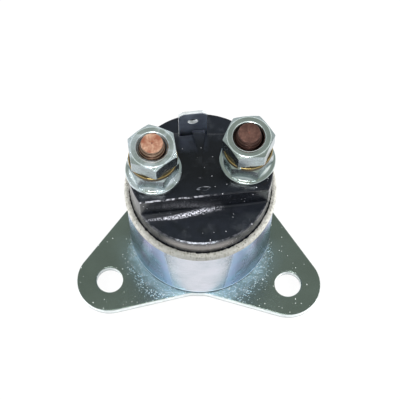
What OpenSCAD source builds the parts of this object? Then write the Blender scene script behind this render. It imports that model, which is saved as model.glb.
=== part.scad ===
// Small 12 V magnetic contactor for switching an engine's starter motor.
// A steel can with a coil and a plunger stands on a two-hole mounting plate. A moulded cap closes it and
// carries two copper power studs with their nuts, and one spade terminal for the coil.
// The origin is on the can's axis, on the plate's mounting face. +X runs along the two mounting holes.

/* [Mounting plate] */
// Thickness of the plate
plate_t = 2; // [1.5:0.1:3]
// Distance between the two mounting holes
hole_pitch = 43; // [41:0.5:50]
// Distance from the can's axis forward to the line of the holes
hole_forward = 14.3; // [13:0.1:16]
// Diameter of each mounting hole
hole_d = 6.3; // [5:0.1:7]
// Radius of the round ear about each hole
ear_r = 7.9; // [6.5:0.1:8.5]
// Slope of the two front edges, in degrees
front_edge_slope = 15.2; // [14:0.1:18]
// Radius that blends the front edges in the middle
front_blend_r = 12; // [6:0.5:16]
// Diameter of each weld dimple in the underside
weld_d = 3; // [2:0.1:4]
// Depth of each weld dimple
weld_depth = 0.4; // [0.2:0.05:0.6]
// Radius of the circle that the weld dimples lie on
weld_circle_r = 9; // [6:0.1:12]

/* [Can] */
// Outer diameter of the can
can_d = 34.4; // [33.8:0.1:36]
// Height from the plate to the top of the rolled rim
can_h = 24.3; // [24:0.1:27]
// Wall and floor of the can
can_wall = 1.2; // [1:0.05:1.25]
// Radius of the can's bottom corner
can_corner_r = 0.6; // [0.4:0.1:1]
// How far the rolled rim stands proud of the can
rim_proud = 0.35; // [0.3:0.05:0.5]
// Height of the rolled rim
rim_h = 2.2; // [1.9:0.05:2.4]
// Wall of the can inside the rim
rim_wall = 0.8; // [0.6:0.05:0.85]
// Thickness of the lip that is rolled in over the cap
lip_t = 0.85; // [0.6:0.05:1]
// Gap between the lip and the cap's wall
lip_gap = 0.15; // [0.1:0.05:0.2]

/* [Cap] */
// Width of the rim's face, from the cap's wall out to the rim's edge
rim_face_w = 1.3; // [1.15:0.05:1.45]
// Height of the cap's skirt inside the can, below its flange
skirt_h = 4.2; // [3.6:0.1:5]
// Height of the cap's wall from the rim to the two low shoulders
shoulder_h = 5.2; // [4.8:0.1:8]
// Height of the raised block above the low shoulders
block_h = 6.5; // [5:0.1:9]
// Distance from the axis to the block's front wall
block_front = 7.6; // [7.2:0.1:8.5]
// Distance from the axis to the block's back wall
block_back = 7.93; // [7.6:0.01:8.2]
// Turn of the cap against the mounting plate, in degrees
cap_turn = 8.2; // [0:0.1:15]
// Turn of the block's back wall against the rest of the cap, in degrees
block_back_turn = -7; // [-8:0.5:0]
// Thickness of the cap's outer wall
cap_wall = 2.3; // [2:0.1:2.6]
// Thickness of the roof under the low shoulders
roof_t = 2.5; // [2:0.1:2.8]
// Radius of the cap's upper edges
cap_edge_r = 0.45; // [0.2:0.05:0.6]
// Radius of the upper edges of the block's front and back walls
block_edge_r = 0.35; // [0.2:0.05:0.6]
// Radius of the hollow at the foot of those walls
wall_foot_r = 0.5; // [0.3:0.05:0.7]
// Thickness of the flange that the can's lip holds
flange_t = 1.4; // [1.2:0.05:1.6]

/* [Power terminals] */
// Distance from the cap's outer wall in to each stud's axis
stud_in = 5.75; // [5.6:0.05:6]
// Diameter of each stud
stud_d = 5.9; // [5.5:0.05:5.9]
// How much each stud's radius shrinks towards its tip
stud_taper = 0.6; // [0.3:0.05:0.9]
// Height of that taper
stud_taper_h = 2.7; // [1:0.1:3.5]
// How far each stud stands out of its upper nut
stud_reach = 1.9; // [1:0.1:6]
// Width across the flats of the nuts
nut_flats = 10; // [9.5:0.1:10.5]
// Bore of the nuts and washers
nut_bore = 6; // [5.95:0.05:6.2]
// Thickness of the upper hexagon nut
nut_t = 5; // [4:0.1:6]
// Thickness of the flange nut
flange_nut_t = 5.6; // [5:0.1:7]
// Diameter of the flange nut's flange
nut_flange_d = 12.6; // [12:0.1:13.2]
// Thickness of the spring washer
washer_t = 1.4; // [1:0.1:2]
// Outer diameter of the spring washer
washer_d = 10.8; // [9.6:0.1:11.4]
// Gap in the split of the spring washer, in degrees
washer_split = 9; // [4:1:20]
// Turns of the two upper nuts against the cap, left then right, in degrees
nut_turns = [32, 59];
// Turns of the two flange nuts against the cap, left then right, in degrees
flange_nut_turns = [48, 44];
// Turns of the two washer splits against the cap, left then right, in degrees
split_turns = [338, 241];
// Diameter of the contact head inside the cap
head_d = 8.4; // [7.6:0.1:8.8]
// Thickness of the contact head
head_t = 2.1; // [1.8:0.1:2.4]

/* [Spade terminal] */
// Width of the blade
blade_w = 6.3; // [6:0.1:6.5]
// Thickness of the blade
blade_t = 0.8; // [0.7:0.05:0.9]
// Height of the blade above the block
blade_h = 9.2; // [8:0.1:11]
// Chamfer at the blade's tip
blade_chamfer = 1; // [0.5:0.1:1.5]
// Diameter of the hole in the blade
blade_hole_d = 2.3; // [1.5:0.1:2.4]
// Height of that hole above the block
blade_hole_h = 5.5; // [4.5:0.1:6.5]
// Distance from the axis back to the middle of the blade
blade_back = 8.6; // [8.4:0.05:8.8]
// Gap that is left in the slot in front of the blade
slot_gap = 0.55; // [0.2:0.05:0.6]
// How far the blade stands to the left of the axis
blade_left = 0.72; // [0:0.01:1]
// Height of the gusset that props the blade
gusset_h = 1.3; // [1:0.1:3]
// Length of the gusset
gusset_l = 5.4; // [3:0.1:6]
// Width of the gusset at the blade
gusset_w = 3.35; // [2:0.05:4]
// How far the gusset stands to the left of the axis
gusset_left = 0.55; // [0:0.05:1]
// Width of the gusset's tip, and of the ridge that runs on from it
ridge_w = 0.8; // [0.5:0.1:1.2]
// Height of the ridge
ridge_h = 0.3; // [0.2:0.05:0.6]
// Length of the ridge
ridge_l = 6.4; // [3:0.1:7]
// Width of the small raised pad near the block's front
pad_w = 3.3; // [2:0.1:4]
// Depth of that pad from front to back
pad_l = 1.1; // [0.8:0.1:1.6]

/* [Coil] */
// Bore radius of the bobbin
bobbin_bore_r = 5.75; // [5.72:0.01:5.8]
// Wall and flanges of the bobbin
bobbin_wall = 1; // [0.8:0.05:1.2]
// How far the bobbin's flanges stand out beyond the winding
winding_in = 1.5; // [1.4:0.1:3]
// Thickness of the tape round the winding
tape_t = 0.4; // [0.2:0.05:0.5]
// Radius of the coil's lead to the spade terminal
lead_r = 0.4; // [0.3:0.05:0.45]
// Distance from the cap's inner wall in to the leads
lead_in = 1.3; // [1.1:0.05:1.4]
// Thickness of the steel plate that closes the coil
top_plate_t = 2.3; // [2:0.1:2.6]
// Thickness of the gasket between that plate and the cap
gasket_t = 0.5; // [0.3:0.05:0.6]
// Bore radius of the guide tube
tube_bore_r = 5.2; // [5.18:0.01:5.22]
// Wall of the guide tube
tube_wall = 0.45; // [0.35:0.01:0.48]

/* [Plunger] */
// Stroke of the plunger
stroke = 2.8; // [2.5:0.1:3]
// Height of the core's pole face in the bobbin, as a share of the bobbin's height
pole_height_share = 0.71; // [0.68:0.01:0.74]
// Air gap that is left between the plunger and the core when it is pulled in
air_gap = 0.2; // [0.1:0.05:0.3]
// Thickness of the rubber bumper below the plunger
bumper_t = 1.3; // [1:0.1:1.5]
// Radius of the rod
rod_r = 1.5; // [1.3:0.05:1.6]
// Thickness of the rod's collar
collar_t = 0.6; // [0.5:0.05:0.7]
// Radius of the rod's collar
collar_r = 3.2; // [3:0.1:3.6]
// Thickness of the retaining clip
clip_t = 0.5; // [0.45:0.05:0.55]
// Radius of the retaining clip
clip_r = 2.7; // [2.5:0.05:2.8]
// Mean radius of the return spring
return_spring_r = 2.75; // [2.6:0.05:2.8]
// Wire diameter of the return spring
return_wire = 0.5; // [0.4:0.05:0.55]
// Depth of the spring's seats in the plunger and in the core, as shares of their lengths
plunger_seat_share = 0.58; // [0.5:0.01:0.65]
core_seat_share = 0.41; // [0.3:0.01:0.45]

/* [Contact] */
// Gap between the contact disc and the stud heads
contact_gap = 2; // [1.8:0.05:2.3]
// Thickness of the contact disc
disc_t = 1.3; // [1:0.1:1.5]
// Thickness of the insulating flange and washer that hold the disc
insulator_t = 0.6; // [0.4:0.05:0.7]
// Radius of the insulating flange and washer
insulator_r = 4.4; // [4.2:0.1:4.8]
// Radius of the insulating bush's neck
neck_r = 2.9; // [2.6:0.1:3.2]
// Wire diameter of the contact spring
contact_wire = 0.35; // [0.3:0.05:0.4]
// Mean radius of the contact spring
contact_spring_r = 2.5; // [2.4:0.05:2.6]

/* [Hidden] */
$fn = 96;

// One overrun for every cut
over = 1;
// Straight edges lie this much inside the true tangents, so that they cross the rounds cleanly
tuck = 0.02;
// Pitch of a spring's closed end turns, as a share of its wire
closed_pitch_share = 1.08;
// Turns of the two springs, with their closed ends
return_turns = 7;
contact_turns = 3;
// Clearances: face to face, loose fit of fixed pieces, running fit of moving ones
touch = 0.05;
loose = 0.1;
running = 0.06;

// Radii of the can and its rim
can_r = can_d / 2;
can_bore_r = can_r - can_wall;
rim_r = can_r + rim_proud;
rim_bore_r = rim_r - rim_wall;
rim_edge_r = lip_t * 0.55;
cap_r = rim_r - rim_face_w;
cap_d = 2 * cap_r;
lip_r = cap_r + lip_gap;
cap_bore_r = can_bore_r - loose - cap_wall;

// Heights of the can and the cap
can_top = plate_t + can_h;
rim_bottom = can_top - rim_h;
flange_top = can_top - lip_t - touch;
flange_bottom = flange_top - flange_t;
shoulder_z = can_top + shoulder_h;
block_z = shoulder_z + block_h;
ceiling_z = shoulder_z - roof_t;

// Heights of the coil and its closing plate
floor_z = plate_t + can_wall;
gasket_top = flange_bottom - skirt_h;
top_plate_z = gasket_top - gasket_t;
bobbin_top = top_plate_z - top_plate_t;
bobbin_h = bobbin_top - floor_z;
bobbin_r = can_bore_r - 2 * loose;
winding_r = bobbin_r - winding_in;
lead_out = cap_bore_r - lead_in;
barrel_r = bobbin_bore_r + bobbin_wall;
core_r = tube_bore_r - loose;
core_flange_r = core_r + tube_wall + bobbin_wall;
lead_hole_r = lead_r + 2 * loose;
ground_r = lead_r * 0.75;
// The earthed lead: its turn against the cap, the radius of its bend, and the length that lies on the plate
ground_turn = 200;
ground_bend_r = 2 * ground_r;
ground_tail = 2.4;

// Heights of the plunger and the core
bumper_top = floor_z + bumper_t;
plunger_bottom = bumper_top + touch;
pole_z = floor_z + bobbin_h * pole_height_share;
plunger_top = pole_z - air_gap - stroke;
plunger_l = plunger_top - plunger_bottom;
plunger_seat = plunger_l * plunger_seat_share;
core_seat = (gasket_top - pole_z) * core_seat_share;
plunger_r = tube_bore_r - running;
spring_pocket_r = return_spring_r + return_wire / 2 + 2 * loose;
rod_bore_r = rod_r + running;

// Places of the studs, and the disc that reaches the middle of both their heads
stud_pitch = cap_d - 2 * stud_in;
disc_r = stud_pitch / 2;

// Heights of the contact, from the stud heads down to the rod's collar
contact_z = ceiling_z - head_t;
disc_top = contact_z - contact_gap;
disc_bottom = disc_top - disc_t;
bush_bottom = disc_bottom - insulator_t;
disc_washer_top = disc_top + insulator_t;
clip_z = disc_washer_top + touch;
rod_top = clip_z + 2 * clip_t + touch;
collar_z = gasket_top + 2 * loose;
collar_top = collar_z + collar_t;
groove_r = rod_r * 0.7;
tip_pocket_r = clip_r + 6 * loose;
tip_pocket_z = rod_top + stroke + 4 * loose;

// Heights of the nuts on each stud
washer_z = block_z + flange_nut_t;
nut_z = washer_z + washer_t;
stud_top = nut_z + nut_t + stud_reach;
stud_r = stud_d / 2;
nut_corner_r = nut_flats / sqrt(3);
nut_chamfer_r = nut_flats * 0.475;
nut_chamfer_h = (nut_corner_r - nut_chamfer_r) * tan(30);
nut_flange_edge = flange_nut_t * 0.16;
nut_flange_slope = flange_nut_t * 0.34;

// Places of the blade and its foot
blade_x = -blade_left;
foot_t = blade_t;
foot_w = blade_w / 2;
foot_z = ceiling_z - foot_t;
foot_back = lead_out + 2 * lead_r;
slot_w = blade_w + 2 * loose;
blade_front = blade_back - blade_t / 2;
slot_front = blade_front - slot_gap;
slot_t = blade_t + slot_gap + loose;

// Tangent points of the plate's outline, for the right ear, and the corner where the front edges meet
ear_x = hole_pitch / 2;
ear_dist = norm([ear_x, hole_forward]);
side_turn = acos((can_r - ear_r) / ear_dist) - atan(hole_forward / ear_x);
side_normal = [cos(side_turn), sin(side_turn)];
front_normal = [-sin(front_edge_slope), -cos(front_edge_slope)];
ear_centre = [ear_x, -hole_forward];
ear_side = ear_centre + (ear_r - tuck) * side_normal;
ear_front = ear_centre + (ear_r - tuck) * front_normal;
can_side = (can_r - tuck) * side_normal;
front_corner_y = ear_front.y + ear_front.x * tan(front_edge_slope);
blend_x = front_blend_r * sin(front_edge_slope);
blend_y = front_corner_y - blend_x * tan(front_edge_slope);
blend_centre_y = front_corner_y - front_blend_r / cos(front_edge_slope);

function mirrored(p) = [-p.x, p.y];

// A cutter that rounds a profile's corner, which is at the origin, with the solid towards +X and +Y
module corner_cut(r) {
    difference() {
        translate([-over, -over])
            square(r + over);
        translate([r, r])
            circle(r);
    }
}

// The rise of a spring after t of its turns: a closed turn at each end, and even ones in between
function spring_rise(t, wire, height, turns) =
    let (closed = wire * closed_pitch_share, open = (height - 2 * closed) / (turns - 2))
    closed * (min(t, 1) + max(t - turns + 1, 0)) + open * min(max(t - 1, 0), turns - 2);

// A wire of round section wound up the Z axis from z0 to z1, which are the heights of its middle
module helix(r, wire, z0, z1, turns, steps = 20, sides = 8) {
    count = turns * steps;
    rings = [for (i = [0:count])
             let (a = 360 * i / steps, z = z0 + spring_rise(i / steps, wire, z1 - z0, turns))
             [for (k = [0:sides - 1]) let (b = 360 * k / sides, d = r + wire / 2 * cos(b))
              [d * cos(a), d * sin(a), z + wire / 2 * sin(b)]]];
    points = [for (ring = rings) each ring];
    skin = [for (i = [0:count - 1]) for (k = [0:sides - 1])
            let (a = i * sides + k, b = i * sides + (k + 1) % sides)
            each [[a, b, b + sides], [a, b + sides, a + sides]]];
    first = [for (k = [1:sides - 2]) [0, k + 1, k]];
    end = count * sides;
    last = [for (k = [1:sides - 2]) [end, end + k, end + k + 1]];
    polyhedron(points, concat(skin, first, last));
}

module ring(outer_r, bore_r, z0, z1) {
    translate([0, 0, z0])
        linear_extrude(z1 - z0)
            difference() {
                circle(outer_r);
                circle(bore_r);
            }
}

// Children placed at the left stud (side -1) or the right one (side 1)
module at_stud(side) {
    rotate(cap_turn)
        translate([side * stud_pitch / 2, 0, 0])
            children();
}

module mounting_plate() {
    color("#8f9a95")
        difference() {
            plate_body();
            for (side = [-1, 1])
                translate([side * ear_x, -hole_forward, -over])
                    cylinder(d = hole_d, h = plate_t + 2 * over);
            for (turn = [30:120:270])
                rotate(turn)
                    translate([weld_circle_r, 0, -over])
                        cylinder(d = weld_d, h = weld_depth + over);
        }
}

// A disc under the can and one at each hole, joined by straight edges that are tangent to them
module plate_body() {
    cylinder(r = can_r, h = plate_t);
    for (side = [-1, 1])
        translate([side * ear_x, -hole_forward, 0])
            cylinder(r = ear_r, h = plate_t);
    linear_extrude(plate_t)
        polygon([can_side, ear_side, ear_front, [0, front_corner_y],
                 mirrored(ear_front), mirrored(ear_side), mirrored(can_side)]);
    difference() {
        translate([-blend_x, blend_y, 0])
            cube([2 * blend_x, front_corner_y - blend_y + over, plate_t]);
        translate([0, blend_centre_y, -over])
            cylinder(r = front_blend_r + tuck, h = plate_t + 2 * over);
    }
}

module can() {
    color("#c4c8cf")
        rotate_extrude()
            can_profile();
}

module can_profile() {
    difference() {
        union() {
            translate([0, plate_t])
                square([can_r, rim_bottom + touch - plate_t]);
            translate([0, rim_bottom])
                square([rim_r, rim_h]);
        }
        translate([can_r, plate_t])
            mirror([1, 0])
                corner_cut(can_corner_r);
        translate([rim_r, can_top])
            rotate(180)
                corner_cut(rim_edge_r);
        translate([rim_r, rim_bottom])
            mirror([1, 0])
                corner_cut(rim_proud * 0.6);
        translate([-over, floor_z])
            square([can_bore_r + over, can_h]);
        translate([-over, flange_bottom])
            square([rim_bore_r + over, flange_t + touch]);
        translate([-over, flange_bottom])
            square([lip_r + over, can_h]);
    }
}

module bumper() {
    color("#2a2a2c")
        ring(plunger_r - 3 * loose, rod_r, floor_z, bumper_top);
}

module guide_tube() {
    color("#c9a44c")
        ring(tube_bore_r + tube_wall, tube_bore_r, floor_z + touch, bobbin_top - touch);
}

module coil_bobbin() {
    color("#e9e4d4")
        difference() {
            union() {
                ring(barrel_r, bobbin_bore_r, floor_z, bobbin_top);
                ring(bobbin_r, bobbin_bore_r, floor_z, floor_z + bobbin_wall);
                ring(bobbin_r, bobbin_bore_r, bobbin_top - bobbin_wall, bobbin_top);
            }
            at_spade_lead()
                cylinder(r = lead_hole_r, h = can_h);
            at_ground_lead()
                cylinder(r = lead_hole_r, h = can_h);
        }
}

// Children placed at the foot of each lead, at the height of the winding's top
module at_spade_lead() {
    rotate(cap_turn)
        translate([blade_x, lead_out, bobbin_top - bobbin_wall - touch])
            children();
}

module at_ground_lead() {
    rotate(cap_turn + ground_turn)
        translate([0, lead_out, bobbin_top - bobbin_wall - touch])
            children();
}

module coil_winding() {
    color("#b5651d")
        ring(winding_r, barrel_r + loose, floor_z + bobbin_wall + touch, bobbin_top - bobbin_wall - touch);
}

module winding_tape() {
    color("#d9b23c")
        ring(winding_r + loose / 2 + tape_t, winding_r + loose / 2, floor_z + bobbin_wall + touch,
             bobbin_top - bobbin_wall - touch);
}

module top_plate() {
    color("#aab0b5")
        difference() {
            ring(can_bore_r - loose, core_r + loose / 5, bobbin_top, top_plate_z);
            at_spade_lead()
                cylinder(r = 2 * lead_hole_r, h = can_h);
            at_ground_lead()
                cylinder(r = lead_hole_r, h = can_h);
        }
}

module fixed_core() {
    color("#9aa0a4")
        difference() {
            union() {
                translate([0, 0, pole_z])
                    cylinder(r = core_r, h = gasket_top - pole_z);
                translate([0, 0, top_plate_z])
                    cylinder(r = core_flange_r, h = gasket_t);
            }
            translate([0, 0, pole_z - over])
                cylinder(r = rod_bore_r, h = can_h);
            translate([0, 0, pole_z - over])
                cylinder(r = spring_pocket_r, h = core_seat + over);
        }
}

module cap_gasket() {
    color("#4a3c30")
        ring(can_bore_r - 2 * loose, cap_bore_r, top_plate_z, gasket_top);
}

module cap() {
    color("#24252b")
        rotate(cap_turn)
            difference() {
                union() {
                    difference() {
                        moulding();
                        translate([blade_x - slot_w / 2, slot_front, gasket_top])
                            cube([slot_w, slot_t, block_z]);
                    }
                    gusset();
                }
                translate([blade_x - slot_w / 2, blade_front - touch, gasket_top])
                    cube([slot_w, blade_t + touch + loose, block_z]);
                translate([0, 0, gasket_top - over])
                    cylinder(r = cap_bore_r, h = ceiling_z - gasket_top + over);
                translate([0, 0, gasket_top])
                    cylinder(r = tip_pocket_r, h = tip_pocket_z - gasket_top);
                for (side = [-1, 1])
                    translate([side * stud_pitch / 2, 0, gasket_top])
                        cylinder(r = stud_r + touch, h = block_z);
            }
}

module moulding() {
    rotate_extrude()
        cap_profile();
    block();
    ridge();
}

// The round of the cap: skirt inside the can, flange under the lip, wall and shoulders
module cap_profile() {
    difference() {
        union() {
            translate([0, gasket_top])
                square([can_bore_r - loose, shoulder_z - gasket_top]);
            translate([0, flange_bottom])
                square([rim_bore_r - loose, flange_t]);
            translate([0, flange_top - touch])
                square([cap_r, shoulder_z - flange_top + touch]);
        }
        translate([cap_r, shoulder_z])
            rotate(180)
                corner_cut(cap_edge_r);
    }
}

// The raised block: a disc cut by the front and back walls
module block() {
    intersection() {
        rotate_extrude()
            difference() {
                translate([0, shoulder_z - roof_t / 2])
                    square([cap_r, block_h + roof_t / 2]);
                translate([cap_r, block_z])
                    rotate(180)
                        corner_cut(cap_edge_r);
            }
        mirror([0, 1, 0])
            block_side(block_front);
        rotate(block_back_turn)
            block_side(block_back);
    }
}

// All that lies in front of one long wall of the block, with a round at its top and a hollow at its foot
module block_side(distance) {
    rotate([90, 0, 90])
        translate([0, 0, -cap_d])
            linear_extrude(2 * cap_d)
                difference() {
                    translate([-cap_d, shoulder_z - roof_t / 2])
                        square([cap_d + distance + wall_foot_r, block_h + roof_t / 2]);
                    translate([distance, shoulder_z + wall_foot_r - tuck])
                        square(block_h + over);
                    translate([distance + wall_foot_r, shoulder_z + wall_foot_r - tuck])
                        circle(wall_foot_r);
                    translate([distance, block_z])
                        rotate(180)
                            corner_cut(block_edge_r);
                }
}

// The wedge that props the blade's front face; it lies square to the block's back wall
module gusset() {
    foot = blade_back - gusset_l;
    slope_top = blade_front - blade_t;
    rotate(block_back_turn)
        intersection() {
            translate([-gusset_left, 0, block_z - roof_t])
                linear_extrude(roof_t + gusset_h)
                    polygon([[-gusset_w / 2, blade_back], [gusset_w / 2, blade_back],
                             [gusset_left + ridge_w / 2, foot], [gusset_left - ridge_w / 2, foot]]);
            rotate([90, 0, 90])
                translate([0, 0, -cap_r])
                    linear_extrude(cap_d)
                        polygon([[blade_back, block_z - roof_t], [blade_back, block_z + gusset_h],
                                 [slope_top, block_z + gusset_h], [foot, block_z + ridge_h],
                                 [foot, block_z - roof_t]]);
        }
}

// The low ridge that runs forward from the gusset, and the pad near the front edge
module ridge() {
    rotate(block_back_turn)
        translate([-ridge_w / 2, blade_back - gusset_l - ridge_l, block_z - touch])
            cube([ridge_w, ridge_l + touch, ridge_h + touch]);
    translate([0, pad_l - block_front, block_z - touch])
        linear_extrude(ridge_h + touch)
            intersection() {
                translate([0, pad_w / 2 - pad_l / 2])
                    circle(pad_w / 2);
                translate([-pad_w / 2, -pad_l / 2])
                    square([pad_w, pad_l]);
            }
}

module stud() {
    rotate_extrude()
        polygon([[0, contact_z], [stud_r, contact_z], [stud_r, stud_top - stud_taper_h],
                 [stud_r - stud_taper, stud_top], [0, stud_top]]);
}

// A stud with its contact head, which is trimmed to clear the cap's wall
module stud_with_head(side) {
    color("#b8693c") {
        at_stud(side)
            stud();
        rotate(cap_turn)
            translate([0, 0, contact_z])
                linear_extrude(head_t - touch)
                    intersection() {
                        translate([side * stud_pitch / 2, 0])
                            circle(head_d / 2);
                        circle(cap_bore_r - loose);
                    }
    }
}

module left_stud() {
    stud_with_head(-1);
}

module right_stud() {
    stud_with_head(1);
}

// A hexagon with its upper corners, and if asked its lower ones, turned to a cone
module hexagon(h, both_ends) {
    foot = both_ends ? nut_chamfer_h : 0;
    foot_r = both_ends ? nut_chamfer_r : nut_corner_r;
    intersection() {
        cylinder(r = nut_corner_r, h = h, $fn = 6);
        rotate_extrude()
            polygon([[0, 0], [foot_r, 0], [nut_corner_r, foot], [nut_corner_r, h - nut_chamfer_h],
                     [nut_chamfer_r, h], [0, h]]);
    }
}

module nut_hole(h) {
    bevel = (nut_bore - stud_d) / 2 + nut_t * 0.08;
    translate([0, 0, -over])
        cylinder(d = nut_bore, h = h + 2 * over);
    translate([0, 0, h - bevel])
        cylinder(r1 = nut_bore / 2, r2 = nut_bore / 2 + bevel + touch, h = bevel + touch);
}

module flange_nuts() {
    color("#b9bfba")
        for (side = [-1, 1])
            at_stud(side)
                translate([0, 0, block_z])
                    difference() {
                        union() {
                            rotate(flange_nut_turns[(side + 1) / 2])
                                hexagon(flange_nut_t, false);
                            rotate_extrude()
                                polygon([[0, 0], [nut_flange_d / 2, 0], [nut_flange_d / 2, nut_flange_edge],
                                         [nut_flats / 2, nut_flange_slope], [0, nut_flange_slope]]);
                        }
                        nut_hole(flange_nut_t);
                    }
}

module spring_washers() {
    color("#c9a227")
        for (side = [-1, 1])
            at_stud(side)
                translate([0, 0, washer_z])
                    rotate(split_turns[(side + 1) / 2] + washer_split / 2)
                        rotate_extrude(angle = 360 - washer_split)
                            translate([nut_bore / 2, 0])
                                square([(washer_d - nut_bore) / 2, washer_t]);
}

module hex_nuts() {
    color("#b9bfba")
        for (side = [-1, 1])
            at_stud(side)
                translate([0, 0, nut_z])
                    difference() {
                        rotate(nut_turns[(side + 1) / 2])
                            hexagon(nut_t, true);
                        nut_hole(nut_t);
                    }
}

module spade_terminal() {
    color("#9aa3b5")
        rotate(cap_turn)
            translate([blade_x, blade_back, 0]) {
                translate([0, blade_t / 2, 0])
                    rotate([90, 0, 0])
                        linear_extrude(blade_t)
                            difference() {
                                polygon([[-blade_w / 2, foot_z], [blade_w / 2, foot_z],
                                         [blade_w / 2, block_z + blade_h - blade_chamfer],
                                         [blade_w / 2 - blade_chamfer, block_z + blade_h],
                                         [blade_chamfer - blade_w / 2, block_z + blade_h],
                                         [-blade_w / 2, block_z + blade_h - blade_chamfer]]);
                                translate([0, block_z + blade_hole_h])
                                    circle(d = blade_hole_d);
                            }
                translate([-foot_w / 2, -blade_t / 2, foot_z])
                    cube([foot_w, foot_back - blade_back + blade_t / 2, foot_t - touch]);
            }
}

module spade_lead() {
    color("#b5651d")
        at_spade_lead()
            cylinder(r = lead_r, h = foot_z - touch - bobbin_top + bobbin_wall + touch);
}

// The lead that is earthed: it rises through the steel plate and is welded down on top of it
module ground_lead() {
    rise = top_plate_z - bobbin_top + bobbin_wall + touch + ground_r + touch - ground_bend_r;
    color("#b5651d")
        at_ground_lead() {
            cylinder(r = ground_r, h = rise);
            translate([0, -ground_bend_r, rise])
                rotate([90, 0, 90])
                    rotate_extrude(angle = 90)
                        translate([ground_bend_r, 0])
                            circle(ground_r);
            translate([0, -ground_bend_r, rise + ground_bend_r])
                rotate([90, 0, 0])
                    cylinder(r = ground_r, h = ground_tail);
        }
}

module return_spring() {
    low = plunger_top - plunger_seat + return_wire / 2 + touch;
    high = pole_z + core_seat - return_wire / 2 - touch;
    color("#c0c4c8")
        helix(return_spring_r, return_wire, low, high, return_turns);
}

module plunger() {
    color("#8d9296")
        translate([0, 0, plunger_bottom])
            difference() {
                cylinder(r = plunger_r, h = plunger_l);
                translate([0, 0, -over])
                    cylinder(r = rod_r + loose / 5, h = plunger_l + 2 * over);
                translate([0, 0, plunger_l - plunger_seat])
                    cylinder(r = spring_pocket_r, h = plunger_l);
            }
}

module plunger_rod() {
    color("#c8a951")
        rotate_extrude()
            polygon([[0, plunger_bottom], [rod_r, plunger_bottom], [rod_r, collar_z],
                     [collar_r, collar_z], [collar_r, collar_top], [rod_r, collar_top],
                     [rod_r, clip_z], [groove_r, clip_z], [groove_r, clip_z + clip_t + touch],
                     [rod_r, clip_z + clip_t + touch], [rod_r, rod_top], [0, rod_top]]);
}

// The clip that snaps into the rod's groove from one side
module rod_clip() {
    color("#55585c")
        translate([0, 0, clip_z + touch / 2])
            linear_extrude(clip_t)
                difference() {
                    circle(clip_r);
                    circle(groove_r + touch);
                    translate([-groove_r, 0])
                        square([2 * groove_r, clip_r + over]);
                }
}

module contact_spring() {
    color("#c0c4c8")
        helix(contact_spring_r, contact_wire, collar_top + contact_wire / 2 + touch,
              bush_bottom - contact_wire / 2 - touch, contact_turns);
}

module contact_disc() {
    color("#b8693c")
        ring(disc_r, neck_r + touch, disc_bottom, disc_top);
}

module disc_bush() {
    color("#e9e4d4") {
        ring(insulator_r, rod_bore_r, bush_bottom, disc_bottom);
        ring(neck_r, rod_bore_r, disc_bottom - touch, disc_top);
    }
}

module disc_washer() {
    color("#7a3b25")
        ring(insulator_r, rod_bore_r, disc_top, disc_washer_top);
}

mounting_plate();
can();
bumper();
guide_tube();
coil_bobbin();
coil_winding();
winding_tape();
top_plate();
fixed_core();
cap_gasket();
cap();
left_stud();
right_stud();
flange_nuts();
spring_washers();
hex_nuts();
spade_terminal();
spade_lead();
ground_lead();
return_spring();
plunger();
plunger_rod();
rod_clip();
contact_spring();
contact_disc();
disc_bush();
disc_washer();
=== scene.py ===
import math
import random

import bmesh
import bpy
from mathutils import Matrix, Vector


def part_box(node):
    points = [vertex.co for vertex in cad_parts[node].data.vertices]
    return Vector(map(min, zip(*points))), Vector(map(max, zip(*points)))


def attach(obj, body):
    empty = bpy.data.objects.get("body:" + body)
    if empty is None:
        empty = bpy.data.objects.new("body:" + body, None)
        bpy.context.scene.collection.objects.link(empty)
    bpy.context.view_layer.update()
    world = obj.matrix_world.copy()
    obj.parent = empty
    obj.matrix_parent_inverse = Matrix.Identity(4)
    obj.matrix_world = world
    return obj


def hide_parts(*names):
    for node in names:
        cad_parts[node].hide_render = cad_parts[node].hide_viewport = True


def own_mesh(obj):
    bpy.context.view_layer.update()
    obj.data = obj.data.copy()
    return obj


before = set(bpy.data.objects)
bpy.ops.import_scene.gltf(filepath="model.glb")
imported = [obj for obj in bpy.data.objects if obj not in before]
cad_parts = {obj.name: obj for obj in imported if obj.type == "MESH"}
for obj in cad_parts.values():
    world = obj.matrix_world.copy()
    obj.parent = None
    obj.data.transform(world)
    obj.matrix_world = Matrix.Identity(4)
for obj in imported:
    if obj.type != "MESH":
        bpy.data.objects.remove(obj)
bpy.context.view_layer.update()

# %% [markdown]
# A starter contactor, dressed for a photograph
#
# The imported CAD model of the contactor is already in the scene: every piece is at its real size, in metres,
# with the plate's mounting face on the ground. In this lesson the pieces that the camera sees are made again
# with Blender's mesh operators, with threads, rolled edges and chamfers that the plain solids don't have.
# Each new piece stands in for its CAD node and rides on the same body. Of the pieces inside the can only the
# two springs are made again. The others keep their CAD shape and get a finish.

MM = 0.001
scene = bpy.context.scene
scene.view_settings.view_transform = "Standard"


# %% [markdown]
# The camera comes first, so that every later choice can be judged in the frame. The product was shot from
# the front and well above, with a long lens. A camera like that is set by how far it looks down, how far it
# is turned and rolled, and where it stands. Three rotations multiplied together are easier to read than one
# set of Euler angles, because each one answers one of those questions.

# %% The camera
CAMERA_SPOT = (2.42, -134.20, 326.33)
LOOKS_DOWN = 66.43
TURNED_LEFT = 1.065
ROLLED = 0.342
FOCAL_LENGTH = 128.62
SENSOR_WIDTH = 36
SEES_FROM, SEES_TO = 0.02, 10


def rotation(degrees, axis):
    return Matrix.Rotation(math.radians(degrees), 4, axis)


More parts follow.
